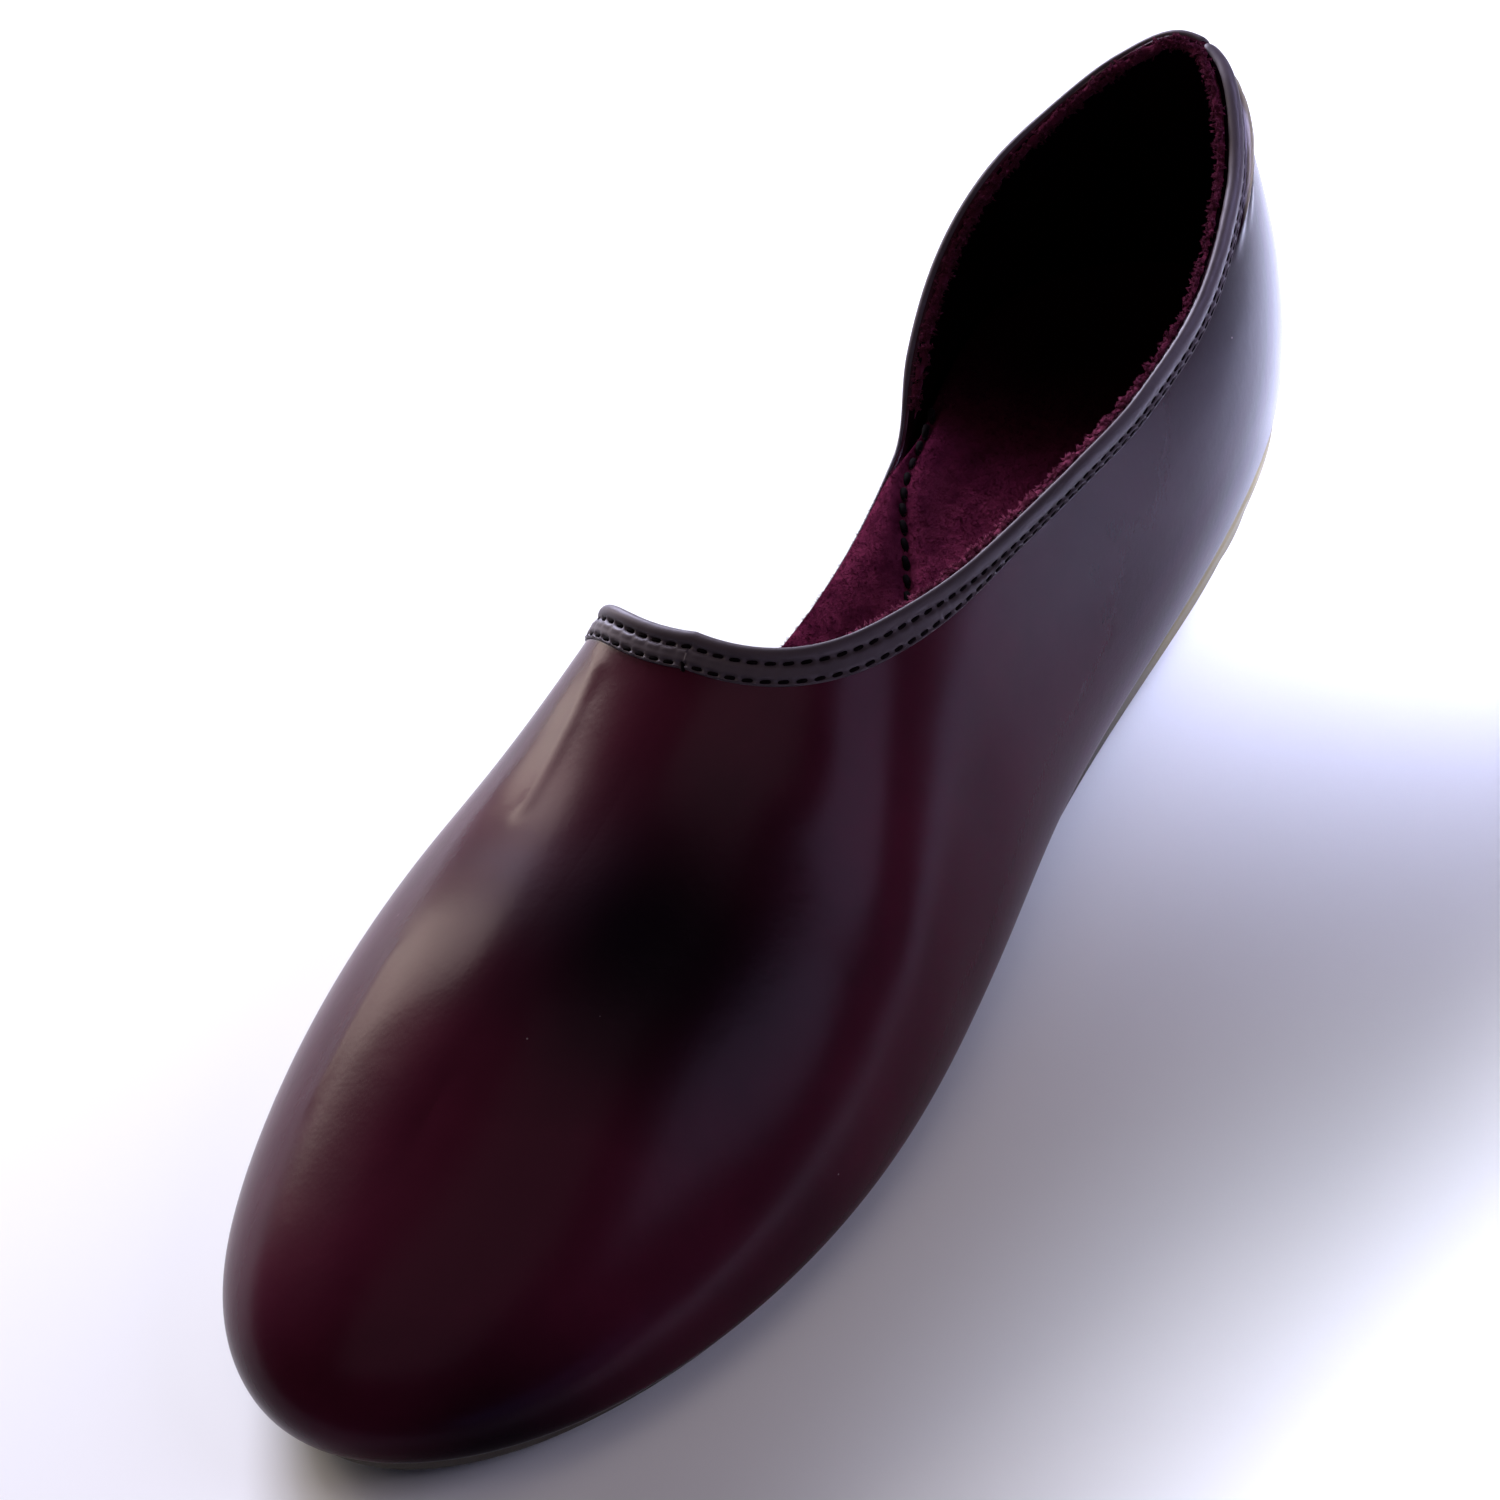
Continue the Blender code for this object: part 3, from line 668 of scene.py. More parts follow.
# %% Ways down from the top edge
BAND_AT, BAND_WIDTH = (0, 2.8, 3.4, THROAT), (3.6, 3.6, 5.0, 5.1)
BAND_SLIM, BAND_EASE, BAND_CLEAR = 0.3, 8.0, 2.2
BAND_JOIN = 0.13           # section number at which both ends of the band meet, beside the back
STATIONS, RIM_STEPS = 1300, 900
WALK_STEPS = 14


def over_the_wall(w, v, heading, length):
    """Walks over the wall in one direction, and gives the places (w, v) on the way."""
    dw, dv = 0.002, 0.002
    places = [(w, v)]
    for _ in range(WALK_STEPS):
        level = np.minimum(v, 1 - dv)
        along = (wall(w + dw, v) - wall(w - dw, v)) / (2 * dw)
        up = (wall(w, level + dv) - wall(w, level - dv)) / (2 * dv)
        out = unit(np.cross(up, along))
        step = heading - out * np.sum(heading * out, axis=-1, keepdims=True)
        step *= (length / WALK_STEPS / np.linalg.norm(step, axis=-1))[:, None]
        aa, uu, au = (np.sum(m * n, axis=-1) for m, n in ((along, along), (up, up), (along, up)))
        sa, su = np.sum(step * along, axis=-1), np.sum(step * up, axis=-1)
        share = aa * uu - au * au
        w = w + (sa * uu - su * au) / share
        v = np.minimum(v + (su * aa - sa * au) / share, 1)
        places.append((w, v))
    return places


def run_along(line):
    """Distance covered along a line of points."""
    return np.concatenate([[0], np.linalg.norm(np.diff(line, axis=0), axis=1).cumsum()])


def rim_stations(count):
    """Places round the opening at even steps, from the join of the band round the outer side."""
    forward = THROAT * (1 - np.linspace(1, 0, RIM_STEPS) ** 2)
    w = np.concatenate([forward, ROUND - forward[-2::-1]])
    run = run_along(wall(w, topline(w)))
    start = np.interp(BAND_JOIN, w, run)
    return np.interp(np.mod(start + np.linspace(0, run[-1], count), run[-1]), run, w)


rim = rim_stations(STATIONS)
rim_edge = wall(rim, topline(rim))
rim_run = run_along(rim_edge)
rim_along = unit(np.gradient(rim_edge, axis=0))
rim_out = wall_out(rim, topline(rim))
rim_down = unit(np.cross(rim_out, rim_along))
rim_width = steady(BAND_AT, BAND_WIDTH)(section_of(rim))
ways = over_the_wall(rim, topline(rim), rim_down, rim_width)
heights = np.array([wall(*way)[:, 2] - wall_controls(way[0])[0][:, 2] for way in ways])
reach = np.sum(heights > BAND_CLEAR, axis=0) / len(ways)
ways = over_the_wall(rim, topline(rim), rim_down, rim_width * reach)
way_places = np.array([wall(*way) for way in ways])
way_outs = np.array([wall_out(*way) for way in ways])
slim = BAND_SLIM + (1 - BAND_SLIM) * smooth((heights[0] - STRIP) / BAND_EASE)
print("the top edge is", round(rim_run[-1]), "mm long")


def on_band(down, out):
    """Points at a distance down from the top edge and out from the wall, at every station."""
    down, out = np.broadcast_to(down, STATIONS), np.broadcast_to(out, STATIONS)
    step = np.clip(down / rim_width, 0, 1) * WALK_STEPS
    low = np.minimum(step.astype(int), WALK_STEPS - 1)
    part = (step - low)[:, None]
    every = np.arange(STATIONS)
    place, outward = (between(way[low, every], way[low + 1, every], part) for way in (way_places, way_outs))
    over = np.minimum(down, 0)[:, None]
    return place + rim_down * over + outward * out[:, None]


# %% [markdown]
# Each stitch pulls the leather down, so the two rows lie in grooves, with a deep pit under every stitch
# and a little bridge of leather between two of them. The pits have to sit where the thread is, so the
# run along each row is measured first and used for both.

# %% Rows of stitches on the band
ROWS_DOWN = ((2.45, 2.45, 1.95, 1.95), (3.15, 3.15, 4.4, 4.5))     # at the sections of BAND_AT
STITCH_PITCH, STITCH_LONG, PIT_EASE = 2.5, 1.75, 0.6
ROW_OUT = 0.4                                               # height at which the run along a row is measured
rows_down = [steady(BAND_AT, row)(section_of(rim)) for row in ROWS_DOWN]
row_runs = [run_along(on_band(down, ROW_OUT)) for down in rows_down]
row_wide = 0.17 + 0.09 * (rows_down[1] - rows_down[0])      # half width of a groove, in proportion
sewn = smooth((slim - 0.75) / 0.15)                         # the low strip has no room for sewing
print("rows of stitches", [round(run[-1]) for run in row_runs], "mm long")


def pit(run):
    """1 under a stitch, 0 on the bridge between two."""
    from_middle = np.abs(np.mod(run / STITCH_PITCH, 1) - 0.5) * STITCH_PITCH
    return smooth((STITCH_LONG / 2 + PIT_EASE / 2 - from_middle) / PIT_EASE)


# %% Face of the band
BAND_FACE = 0.55
GROOVE, PIT, LIP, LIP_AT = 0.12, 0.40, 0.08, 2.2             # the lip lies that many half widths below a row
BEVEL, BEVEL_STARTS = 0.35, 0.2


def band_face(down):
    """How far the band's face stands out from the wall, at every station."""
    height = BAND_FACE * slim * smooth((rim_width - down) / BEVEL + BEVEL_STARTS)
    for row, run in zip(rows_down, row_runs):
        below = (down - row) / row_wide
        dent = np.exp(-below ** 2) * (GROOVE + PIT * pit(run))
        height = height - sewn * (dent - LIP * np.exp(-(below - LIP_AT) ** 2) * pit(run))
    return height


print("the band stands out", np.round(band_face(rows_down[1] / 2).max(), 2), "mm between edge and seams")

# %% Band with its bead and its two ends
BEAD_OUT = (0.85, 1.0, 0.8, 0.8)                            # at the sections of BAND_AT
BEAD_IN, BEAD_TOP, BEAD_OVER_ROW = 0.65, 0.3, 0.25
BAND_BACK = (0.3, -0.3)             # the strip behind the bead: how far down from its middle, and how far out
RINGS_FACE, RINGS_BEAD = 46, 17
CUT_SLANT, CUT_REACH, CUT_GAP = 0.55, 5.0, 0.7
TUCK_START, TUCK_END = (0.45, 1.6), (0.2, 0.8)              # share and length by which each end is rounded
HEEL_FOLD = 0.9                     # along the outer side of the heel the bead is thicker, inwards
heel_fold = HEEL_FOLD * smooth((1.9 - rim) / 1.2) * (rim_run < rim_run[-1] / 2)


def lay_band():
    low, top = rows_down[0] - BEAD_OVER_ROW, -BEAD_TOP
    middle, tall = (low + top) / 2, (low - top) / 2
    bead_out, bead_in = steady(BAND_AT, BEAD_OUT)(section_of(rim)) * slim, BEAD_IN + heel_fold
    centre, half = (bead_out - bead_in) / 2, (bead_out + bead_in) / 2
    rings = []
    for share in np.linspace(0, 1, RINGS_FACE):
        down = rim_width + (middle - rim_width) * share
        bead = centre + half * np.sqrt(np.clip(1 - ((down - middle) / tall) ** 2, 0, 1))
        rings.append((down, np.maximum(band_face(down), bead)))
    for turn in np.linspace(0, np.pi, RINGS_BEAD)[1:]:
        rings.append((middle - tall * np.sin(turn), centre + half * np.cos(turn)))
    rings += [(middle + BAND_BACK[0], BAND_BACK[1]), (rim_width, 0.02)]
    from_start, from_end = rim_run, rim_run[-1] - rim_run
    points = []
    for down, out in rings:
        # both ends are cut along one slanting line, and the corner of the nearer one is rounded
        slant = CUT_SLANT * (down - 1.0)
        moved = (slant + CUT_GAP / 2) * smooth(1 - from_start / CUT_REACH)
        moved += (slant - CUT_GAP / 2) * smooth(1 - from_end / CUT_REACH)
        tucked = sum(share * (1 - round_up(run / length)) for run, (share, length) in
                     ((from_start, TUCK_START), (from_end, TUCK_END)))
        place = on_band(down + tucked * (1 - down / 3), out * (1 - tucked))
        points.append(place + rim_along * moved[:, None])
    points = np.array(points)
    number = numbers(len(points), STATIONS)
    faces = grid_faces(np.vstack([number, number[:1]]), around=False)
    faces += [number[::-1, 0].tolist(), number[:, -1].tolist()]
    piece("top_band", points.reshape(-1, 3), faces, band_leather, "binding", "topline_binding")


lay_band()

# %% [markdown]
# The thread is dark, thick and matt, and lies almost flush with the leather, so it is seen as dark dashes.
# One stitch is a short rod that bows up in the middle and dives into its holes at both ends. All stitches
# of a row are copies of that rod, made as one array of points: the middle of each stitch plus the rod's
# points turned along the row.

# %% Thread
# painted highlight: the thread's colour is lighter where the bump of its twist is high
TWIST_PAINTED_HIGHLIGHT = 2.4                   # how much lighter the thread is where its twist stands up


def thread(name, colour):
    material, tree, shader, place = new_finish(name)
    twist = noise(tree, place, Scale=2200, Detail=3)
    light = tuple(TWIST_PAINTED_HIGHLIGHT * c for c in colour)
    fill(tree, shader, Base_Color=ramp(tree, twist, [(0.35, colour), (0.7, light)]),
         Normal=bumped(tree, twist, 0.6, 0.0001), Roughness=0.9, Specular_IOR_Level=0.03)
    return material


dark_thread = thread("dark_thread", (0.0016, 0.0007, 0.0012))
print("thread", dark_thread.name)


# %% Copies of one stitch
STITCH_SIDES, STITCH_RINGS, STITCH_BLUNT = 8, 9, 0.97


def stitch_row(line, outs, runs, pitch, length, thick, dive, slant=0.14, sewn=1.0):
    """Points and faces of stitches at even steps of a line's run, where it is sewn."""
    def at_middles(values):
        return np.column_stack([np.interp(middles, runs, column) for column in values.T])

    middles = (np.arange(int(runs[-1] / pitch)) + 0.5) * pitch
    middles = middles[np.interp(middles, runs, np.broadcast_to(sewn, len(runs))) > 0.5]
    thick = np.interp(middles, runs, np.broadcast_to(thick, len(runs)))[:, None, None]
    along, out = unit(at_middles(np.gradient(line, axis=0))), unit(at_middles(outs))
    across = np.cross(out, along)
    along, across = along + slant * across, across - slant * along
    turns = np.linspace(0, 2 * np.pi, STITCH_SIDES + 1)[:-1]
    t, turn = np.meshgrid(np.linspace(-1, 1, STITCH_RINGS), turns, indexing="ij")
    radius = thick / 2 * np.sqrt(np.clip(1 - (STITCH_BLUNT * t) ** 4, 0, 1))
    sizes = (t[None] * length / 2, radius * np.cos(turn), radius * np.sin(turn) - dive * t * t)
    points = at_middles(line)[:, None, None] + sum(
        size[..., None] * way[:, None, None] for size, way in zip(sizes, (along, across, out)))
    number = numbers(STITCH_RINGS, STITCH_SIDES)
    one = [face[::-1] for face in grid_faces(number)] + [number[0].tolist(), number[-1, ::-1].tolist()]
    faces = [[corner + k * number.size for corner in face] for k in range(len(middles)) for face in one]
    return points.reshape(-1, 3), faces


def joined(parts):
    """Several arrays of points and faces as one."""
    starts = np.cumsum([0] + [len(points) for points, _ in parts])
    faces = [[corner + int(start) for corner in face]
             for start, (_, part) in zip(starts, parts) for face in part]
    return np.concatenate([points for points, _ in parts]), faces


# %% Stitches of the band
SUNK, DIVE = 0.10, 0.15             # how far the thread lies under the face, and its ends lie lower still
THREAD = 1.5                        # its thickness, in half widths of the groove


def sew_band():
    rows, thick = [], THREAD * row_wide
    for down, run in zip(rows_down, row_runs):
        line = on_band(down, BAND_FACE - SUNK - thick / 2)
        outs = unit(on_band(down, 1.0) - on_band(down, 0.0))
        rows.append(stitch_row(line, outs, run, STITCH_PITCH, STITCH_LONG, thick, DIVE, sewn=sewn))
    piece("band_stitches", *joined(rows), dark_thread, "binding")


sew_band()

# %% [markdown]
# The lining follows the inside of the leather as one more skin. At the top edge its fleece is cut thick and
# swells out beside the bead, so a soft roll of it shows all the way round. The roll is a tube along the
# edge with a lumpy radius. On the low inner strip it shrinks away, because the insole covers that edge.

# %% Lining
LINING, LINING_ROWS = 0.75, 30
LINING_DEPTH = LEATHER + 0.05


def cut_lining():
    rows, _ = skin_points(columns, LINING_DEPTH, LINING_ROWS)
    number = joined_over_toes(numbers(len(rows), len(columns)))
    lining = piece("lining", np.concatenate(rows), grid_faces(number), lining_fleece_painted_shade, "insole")
    solidify(lining, LINING)


cut_lining()

# %% Roll of fleece along the edge
ROLL_DOWN, ROLL_OUT = 0.62, -1.6
ROLL_TALL, ROLL_THICK = 0.80, 0.72
ROLL_TURNS, SEED = 15, 7
rng = np.random.default_rng(SEED)


def lumps(step):
    """Random heights from -1 to 1 over the roll, one bump in about step stations by a fifth of a turn."""
    knots = rng.uniform(-1, 1, (STATIONS // step + 2, ROLL_TURNS // 3 + 1))
    knots[:, -1] = knots[:, 0]
    run, turn = np.arange(STATIONS) / step, np.linspace(0, knots.shape[1] - 1, ROLL_TURNS + 1)
    i, j = run.astype(int), np.minimum(turn.astype(int), knots.shape[1] - 2)
    a, b = smooth(run - i)[:, None], smooth(turn - j)[None]
    run_knots = between(knots[i], knots[i + 1], a)
    return between(run_knots[:, j], run_knots[:, j + 1], b)


roll_size = (1 + 0.18 * lumps(8) + 0.30 * lumps(3)) * smooth((slim - 0.2) / 0.6)[:, None]
roll_out = ROLL_OUT - heel_fold * smooth(rim_run / 4)
roll_down = ROLL_DOWN + 1.0 * smooth((section_of(rim) - 3.35) / 0.4)       # across the throat it lies lower


def on_roll(station, turn, size=1.0):
    """Points on the roll: a turn of 0 is its inner side, a quarter turn its top."""
    step = np.mod(turn / (2 * np.pi), 1) * ROLL_TURNS
    grown = roll_size[station, np.rint(step).astype(int)] * size
    out = roll_out[station] - grown * ROLL_THICK * np.cos(turn)
    down = roll_down[station] - grown * ROLL_TALL * np.sin(turn)
    return rim_edge[station] + rim_out[station] * out[:, None] + rim_down[station] * down[:, None]


def edge_roll():
    station = np.arange(STATIONS)
    turns = np.linspace(0, 2 * np.pi, ROLL_TURNS + 1)[:-1]
    rings = np.array([on_roll(station, np.full(STATIONS, turn)) for turn in turns])
    number = numbers(len(rings), STATIONS)
    faces = grid_faces(np.vstack([number, number[:1]]))
    piece("fleece_roll", rings.reshape(-1, 3), faces, tuft_fleece_painted_sheen, "insole")


edge_roll()

# %% [markdown]
# The insole is a padded footbed under the same fleece. Along the open inner side it rolls over the low
# strip of leather, and one thick seam runs slanting over it in a groove. Its top is a grid of strips from
# the outer edge to the inner edge, lifted by a few simple rules: round at the rim, dished in the middle,
# fuller along the roll and pulled down along the seam.

# %% Plan of the insole
PAD_HEIGHT, PAD_INSET, PAD_DISH = 5.2, 3.2, 1.0
LIP_INSET, LIP_FROM, LIP_TO, LIP_EASE = 0.6, 1.8, 3.1, 0.3
UNDER, OVER_STRIP = 2.1, 4.2
LIP_ROUND = ((0.4, 0.1), (0, 0.35), (-0.12, 0.7))           # inset and lift of the points under the lip
RIM_RISE, RIM_ROUND = 0.7, 2.2
DISH_FROM, DISH_EASE = 5, 8
SWELL, SWELL_ROUND, SWELL_TO, SWELL_EASE = 0.9, 3.5, 4, 7     # along the open side the edge is fuller
SEAM_X, SEAM_Y = (44, 50, 62, 73, 83.5, 97, 116, 140), (-24.5, -21.6, -18.6, -12.6, -5.8, 3.2, 12.5, 19)
SEAM_DEEP, SEAM_WIDE = 1.5, 1.0                             # the groove that the seam pulls in
SEAM_FULL, SEAM_FULL_AT, SEAM_FULL_WIDE = 0.45, 3.2, 2.2    # the pad stands up beside it
steps = np.linspace(0, len(SEAM_X) - 1, 400)
seam_line = np.column_stack([cubic(range(len(SEAM_X)), places)(steps) for places in (SEAM_X, SEAM_Y)])
print("the seam over the insole is", round(run_along(seam_line)[-1]), "mm long")


def rolled_at(w):
    """1 where the insole rolls over the strip of the open side, 0 elsewhere."""
    q = section_of(w)
    return smooth((q - LIP_FROM) / LIP_EASE) * smooth((LIP_TO - q) / LIP_EASE) * (np.mod(w, ROUND) > LAST)


def nearest(points, line):
    """Distance from each point to a line of points in plan, and the number of the nearest one."""
    away = np.linalg.norm(points[:, None, :2] - line[None, :, :2], axis=-1)
    return away.min(axis=1), away.argmin(axis=1)


def insole_lift(plan, rim_line, rolled):
    """Height of the insole's top over the sole's edge."""
    from_rim, number = nearest(plan, rim_line)
    from_seam, _ = nearest(plan, seam_line)
    lift = PAD_HEIGHT + RIM_RISE * round_up(from_rim / RIM_ROUND)
    lift -= PAD_DISH * smooth((from_rim - DISH_FROM) / DISH_EASE)
    swell = SWELL * round_up(from_rim / SWELL_ROUND) * (1 - smooth((from_rim - SWELL_TO) / SWELL_EASE))
    lift += rolled[number] * swell
    beside = SEAM_FULL * np.exp(-((from_seam - SEAM_FULL_AT) / SEAM_FULL_WIDE) ** 2)
    return lift + smooth(from_rim / 1.5) * (beside - SEAM_DEEP * np.exp(-(from_seam / SEAM_WIDE) ** 2))


# %% Insole
STRIP_STEPS = 130


def bridge(ring):
    """Quads straight across a ring of point numbers, from its outer to its inner half."""
    count = len(ring)
    return [[ring[i], ring[i + 1], ring[(count - i - 1) % count], ring[(count - i) % count]]
            for i in range(count // 2)]


def pad_insole():
    w = places_round(110, 50)
    count, half = len(w), len(w) // 2
    rolled = rolled_at(w)
    lip = between(PAD_INSET, LIP_INSET, rolled)
    sides = [inset_edge(w, PAD_INSET, lift) for lift in (UNDER, OVER_STRIP)]
    sides += [inset_edge(w, lip + inset, OVER_STRIP + lift) for inset, lift in LIP_ROUND]
    sides.append(inset_edge(w, lip, PAD_HEIGHT))
    number, rim_ring = numbers(len(sides), count), sides[-1]
    inner_half = (count - np.arange(half + 1)) % count
    share = ((1 - np.cos(np.linspace(0, np.pi, STRIP_STEPS + 1))) / 2)[1:-1, None]
    plan = between(rim_ring[1:half, None], rim_ring[inner_half[1:half], None], share).reshape(-1, 3)
    plan[:, 2] = seat_over(plan[:, 0]) + insole_lift(plan, rim_ring, rolled)
    top = np.empty((half + 1, STRIP_STEPS + 1), int)
    top[:, 0], top[:, -1] = number[-1, :half + 1], number[-1, inner_half]
    top[1:half, 1:-1] = number.size + np.arange(len(plan)).reshape(half - 1, -1)
    top[0, :], top[half, :] = number[-1, 0], number[-1, half]
    points = np.concatenate(sides + [plan])
    faces = grid_faces(number) + bridge(number[0]) + grid_faces(top.T, around=False)
    piece("insole_pad", points, faces, insole_fleece, "insole", "insole")
    return points[top]


insole_top = pad_insole()

# %% Seam of the insole
SEWN_FROM, SEWN_TO = 47, 132
SEAM_UP, SEAM_EVEN = 0.35, 9        # how far the thread lies over the groove, whose heights are evened out


def sew_insole():
    flat = seam_line[(seam_line[:, 0] > SEWN_FROM) & (seam_line[:, 0] < SEWN_TO)]
    corners = insole_top[1:-1].reshape(-1, 3)
    _, number = nearest(flat, corners)
    heights = np.pad(corners[number, 2], SEAM_EVEN // 2, mode="edge")
    heights = np.convolve(heights, np.ones(SEAM_EVEN) / SEAM_EVEN, mode="valid") + SEAM_UP
    line = np.column_stack([flat, heights])
    outs = np.tile((0.0, 0.0, 1.0), (len(line), 1))
    stitches = stitch_row(line, outs, run_along(line), pitch=3.4, length=3.0, thick=1.15, dive=0.5, slant=0.2)
    piece("insole_stitches", *stitches, dark_thread, "insole")


sew_insole()

# %% [markdown]
# Tufts of fleece break up the hard outline where the lining peeks out and where the insole is seen from
# close by. Each hair is a thin three-sided spike, a closed little solid. Along the edge they lean together
# in locks, as brushed fleece does, and on the insole each one stands alone. Thousands are drawn as one
# array: random roots, random lean, one mesh. The random numbers start from a fixed seed.

# %% Tufts
LOCKS, HAIRS, NAP = 2400, 10, 30000
LOCK_TURNS, LOCK_LEAN, LOCK_LONG = (-0.6, 2.5), 0.45, (0.35, 1.15)
ROOTS_SPREAD, TIPS_SPREAD, HAIR_WIDE = 0.24, 0.09, (0.05, 0.12)
NAP_X = (34, 142)                   # the part of the insole that shows through the opening
NAP_LEAN, NAP_LOOSE, NAP_LONG, NAP_WIDE = (0.5, -0.3, 0.55), 0.55, (0.25, 0.8), (0.03, 0.07)


def tufts(roots, leans, lengths, widths):
    """Points and faces of closed three-sided spikes."""
    leans = unit(leans)
    side = unit(np.cross(leans, rng.normal(size=leans.shape)))
    other = np.cross(leans, side)
    turns = np.arange(3) * 2 * np.pi / 3
    base = [roots + widths[:, None] * (np.cos(a) * side + np.sin(a) * other) for a in turns]
    tip = roots + leans * lengths[:, None]
    points = np.stack(base + [tip], axis=1).reshape(-1, 3)
    first = 4 * np.arange(len(roots))[:, None]
    faces = np.concatenate([first + np.array(c) for c in ((0, 2, 1), (0, 1, 3), (1, 2, 3), (2, 0, 3))])
    return points, faces.tolist()


def fringe():
    """Fleece that stands out from the roll in locks, each a bunch of hairs that meet at one tip."""
    station = rng.integers(0, STATIONS, LOCKS)
    station = station[slim[station] > 0.5]
    locks = len(station)
    turn = rng.uniform(*LOCK_TURNS, locks)
    base = on_roll(station, turn, 0.9)
    lean = unit(unit(on_roll(station, turn, 1.3) - base) + rng.normal(0, LOCK_LEAN, (locks, 3)))
    tips = base + lean * rng.uniform(*LOCK_LONG, (locks, 1))
    roots = np.repeat(base, HAIRS, axis=0) + rng.normal(0, ROOTS_SPREAD, (locks * HAIRS, 3))
    leans = np.repeat(tips, HAIRS, axis=0) + rng.normal(0, TIPS_SPREAD, (locks * HAIRS, 3)) - roots
    lengths, widths = np.linalg.norm(leans, axis=1), rng.uniform(*HAIR_WIDE, len(leans))
    piece("lining_fringe", *tufts(roots, leans, lengths, widths), tuft_fleece_painted_sheen, "insole")


def insole_nap():
    """Short nap on the part of the insole that shows through the opening."""
    middle = (insole_top[:-1, :-1] + insole_top[1:, 1:]) / 2
    cells = np.argwhere((middle[..., 0] > NAP_X[0]) & (middle[..., 0] < NAP_X[1]))
    size = np.linalg.norm(np.cross(insole_top[1:, :-1] - insole_top[:-1, :-1],
                                   insole_top[:-1, 1:] - insole_top[:-1, :-1]), axis=-1)
    weight = size[cells[:, 0], cells[:, 1]]
    i, j = cells[rng.choice(len(cells), NAP, p=weight / weight.sum())].T
    a, b = rng.uniform(0, 1, (2, NAP, 1))
    roots = between(*(between(insole_top[i, k], insole_top[i + 1, k], a) for k in (j, j + 1)), b)
    leans = rng.normal(0, NAP_LOOSE, (NAP, 3)) + NAP_LEAN
    leans[:, 2] = np.abs(leans[:, 2])
    lengths, widths = rng.uniform(*NAP_LONG, NAP), rng.uniform(*NAP_WIDE, NAP)
    piece("insole_nap", *tufts(roots, leans, lengths, widths), insole_fleece, "insole")


fringe()
insole_nap()

# %% [markdown]
# The sole is a thin tan outsole with a low heel under it. Both are moulded, so their edges are rounded.
# The rounding is drawn as rings that run round the shoe from the underside to the top edge.

# %% Tan rubber
# painted shade: the sole's edge is greyed towards the toe, standing in for the shadow under the toe
TOE_SHADE_SPAN = (-0.025, -0.085)          # from the toe back, the edge clears from trodden grey to tan
TOE_PAINTED_SHADE = (0.050, 0.040, 0.028)


def rubber(name, dark, pale):
    material, tree, shader, place = new_finish(name)
    stain = noise(tree, place, Scale=70, Detail=6, Roughness=0.6)
    # painted shade: the stain is pulled to grey towards the toe
    tone_and_painted_shade = times(tree, stain, rise(tree, along_shoe(tree, place), *TOE_SHADE_SPAN))
    pebble = noise(tree, place, Scale=1800, Detail=2)
    fill(tree, shader, Base_Color=ramp(tree, tone_and_painted_shade, [(0.0, TOE_PAINTED_SHADE), (0.3, dark), (0.65, pale)]),
         Normal=bumped(tree, pebble, 0.25, 0.0002), Roughness=0.62)
    return material


tan_rubber = rubber("tan_rubber", (0.190, 0.155, 0.080), (0.250, 0.205, 0.110))
heel_rubber = rubber("heel_rubber", (0.170, 0.138, 0.072), (0.225, 0.185, 0.100))
print("rubbers", tan_rubber.name, heel_rubber.name)

# %% Outsole and heel
TREAD_X, TREAD_Z = (-6, 35, 61, 112, 150, 194, 228, 254), (9, 9, 6.4, 2.6, 0, 0, 2.4, 5.4)
tread_over = steady(TREAD_X, TREAD_Z)
GAP = 0.3
SOLE_ROUND, SOLE_TAPER = 1.2, 0.5
HEEL_END, HEEL_TAPER, HEEL_ROUND, HEEL_STEPS = 2.15, 3.0, 0.8, 80
HEEL_WAIST, HEEL_WAIST_FROM = 2.0, 1.4
QUARTER, SIDE_SHARES = np.linspace(0, np.pi / 2, 7), (0.25, 0.5, 0.75)


def tread_edge(w, inset, lift):
    """Points on the outsole's underside, inside the upper's edge by inset."""
    places = inset_edge(w, inset, 0)
    places[:, 2] = tread_over(places[:, 0]) + lift
    return places


def ring_solid(rings):
    """Closed solid from rings of points, the first at the bottom and the last on top."""
    number = numbers(len(rings), len(rings[0]))
    faces = grid_faces(number) + bridge(number[0]) + [face[::-1] for face in bridge(number[-1])]
    return np.concatenate(rings), faces


def mould_sole():
    w = places_round(110, 60)
    inset = sole_in_at(section_of(w))
    low = [tread_edge(w, inset + SOLE_TAPER + SOLE_ROUND * (1 - np.sin(a)), SOLE_ROUND * (1 - np.cos(a)))
           for a in QUARTER]
    top = SOLE_ROUND / 2
    high = [inset_edge(w, inset + top * (1 - np.cos(a)), -GAP - top * (1 - np.sin(a))) for a in QUARTER]
    sides = [between(low[-1], high[0], t) for t in SIDE_SHARES]
    piece("tan_outsole", *ring_solid(low + sides + high), tan_rubber, "sole", "outsole")


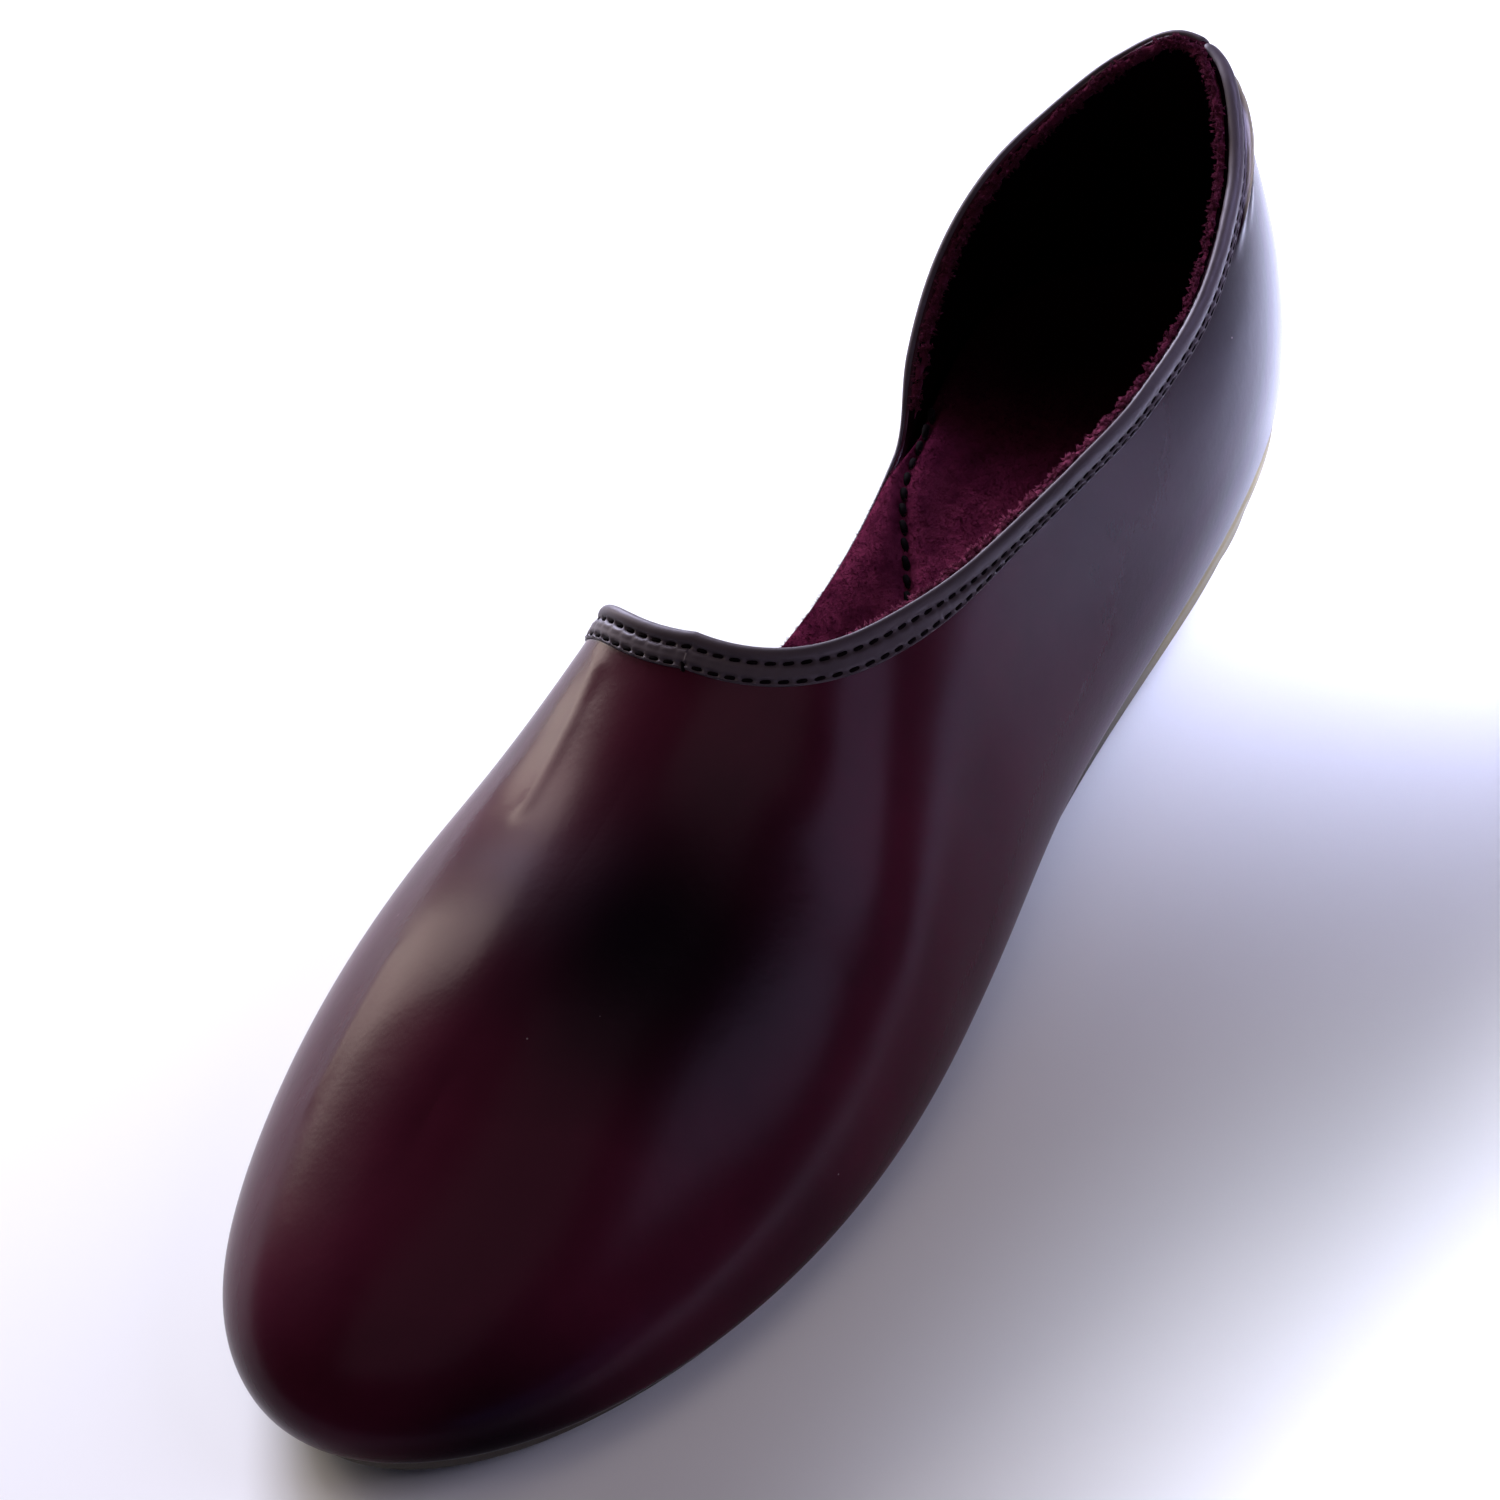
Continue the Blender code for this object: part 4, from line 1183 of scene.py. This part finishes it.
def mould_heel():
    reach = np.linspace(0, HEEL_END, HEEL_STEPS)
    w = np.concatenate([reach, ROUND - reach[:0:-1]])
    waisted = HEEL_WAIST * smooth((section_of(w) - HEEL_WAIST_FROM) / (HEEL_END - HEEL_WAIST_FROM))
    inset = sole_in_at(section_of(w)) + SOLE_TAPER + SOLE_ROUND + waisted
    rings = []
    for a in QUARTER:
        ring = tread_edge(w, inset + HEEL_TAPER - HEEL_ROUND * np.sin(a), 0)
        ring[:, 2] = HEEL_ROUND * (1 - np.cos(a))
        rings.append(ring)
    seat = tread_edge(w, inset, -GAP)
    rings += [between(rings[-1], seat, t) for t in SIDE_SHARES] + [seat]
    piece("low_heel", *ring_solid(rings), heel_rubber, "heel", "heel")


mould_sole()
mould_heel()

# %% [markdown]
# The studio is plain: a wide pale floor and a few soft boxes. The polished leather shows its
# surroundings, so the lights are placed by what it should mirror. A window on the inner side draws the
# warm streak along the far shoulder, a leaning strip the lilac one on the vamp, and a faint blue card low
# in front cools the toe. The outer side mirrors the floor, so three small boxes light only the floor there,
# beside the shoe and behind it, with a narrow spread that passes the shoe by. A soft box is an area light
# that faces the point it is aimed at, the shoe if nothing else is named.

# %% Floor
FLOOR_HALF = 4.0


def pale_floor():
    material, tree, shader, place = new_finish("pale_floor")
    cloud = noise(tree, place, Scale=3, Detail=2)
    fill(tree, shader, Base_Color=ramp(tree, cloud, [(0.3, (0.88, 0.88, 0.90)), (0.7, (0.90, 0.90, 0.92))]),
         Roughness=0.9)
    mesh = bpy.data.meshes.new("floor")
    corners = [(x * FLOOR_HALF, y * FLOOR_HALF, 0) for x, y in ((-1, -1), (1, -1), (1, 1), (-1, 1))]
    mesh.from_pydata(corners, [], [(0, 1, 2, 3)])
    mesh.materials.append(material)
    put_in_scene("floor", mesh)


pale_floor()
print("floor", 2 * FLOOR_HALF, "m wide")

# %% Light
SHOE = (0, 0, 0.03)
SoftBox = namedtuple("SoftBox", "turn height away wide tall power colour lean aim spread",
                     defaults=(0, SHOE, 180))
SOFT_BOXES = {
    "window": SoftBox(-96.5, 21, 0.75, 0.17, 0.52, 3.0, (1.0, 0.89, 0.74)),
    "ceiling": SoftBox(15, 72, 1.2, 0.9, 0.8, 2.2, (1.0, 0.86, 0.80)),
    "back_left": SoftBox(-125, 20, 0.8, 0.30, 0.30, 16, (0.80, 0.82, 1.0)),
    "back_right": SoftBox(150, 55, 0.16, 0.10, 0.10, 0.28, (0.66, 0.70, 1.0), 0, (-0.152, 0.050, 0), 52),
    "outer_strip": SoftBox(99, 36, 0.8, 0.28, 0.50, 1.4, (0.80, 0.76, 1.0), 40),
    "outer_floor": SoftBox(0, 90, 0.40, 0.10, 0.10, 0.60, (0.82, 0.86, 1.0), 0, (0.075, 0.250, 0), 46),
    "rear_floor": SoftBox(0, 90, 0.40, 0.10, 0.10, 0.50, (0.60, 0.68, 1.0), 0, (-0.215, 0.240, 0), 46),
    "front_card": SoftBox(60, 6, 0.9, 0.60, 0.16, 0.35, (0.34, 0.40, 1.0)),
}


def hang_light(name, box):
    data = bpy.data.lights.new(name, "AREA")
    data.shape, data.size, data.size_y = "RECTANGLE", box.wide, box.tall
    data.energy, data.color, data.spread = box.power, box.colour, np.radians(box.spread)
    light = put_in_scene(name, data)
    way = Vector(direction(*np.radians([box.turn, box.height])))
    light.location = way * box.away + Vector(box.aim)
    turned = Quaternion((0, 0, 1), np.radians(box.lean))
    light.rotation_euler = (way.to_track_quat("Z", "Y") @ turned).to_euler()


for name, box in SOFT_BOXES.items():
    hang_light(name, box)
print("lights", sorted(SOFT_BOXES))

# %% Room
ROOM = [(0.0, (0.10, 0.10, 0.12)), (0.35, (0.012, 0.012, 0.016)), (1.0, (0.01, 0.008, 0.01))]


def dim_room():
    """Faint light from all round, brighter at the horizon than overhead."""
    world = bpy.data.worlds.new("room")
    bpy.context.scene.world = world
    world.use_nodes = True
    tree = world.node_tree
    place = node(tree, "TexCoord").outputs["Generated"]
    height = node(tree, "SeparateXYZ", Vector=place).outputs["Z"]
    fill(tree, tree.nodes["Background"], Color=ramp(tree, height, ROOM))


dim_room()
bpy.context.scene.view_settings.view_transform = "Standard"
print("room", bpy.context.scene.world.name)
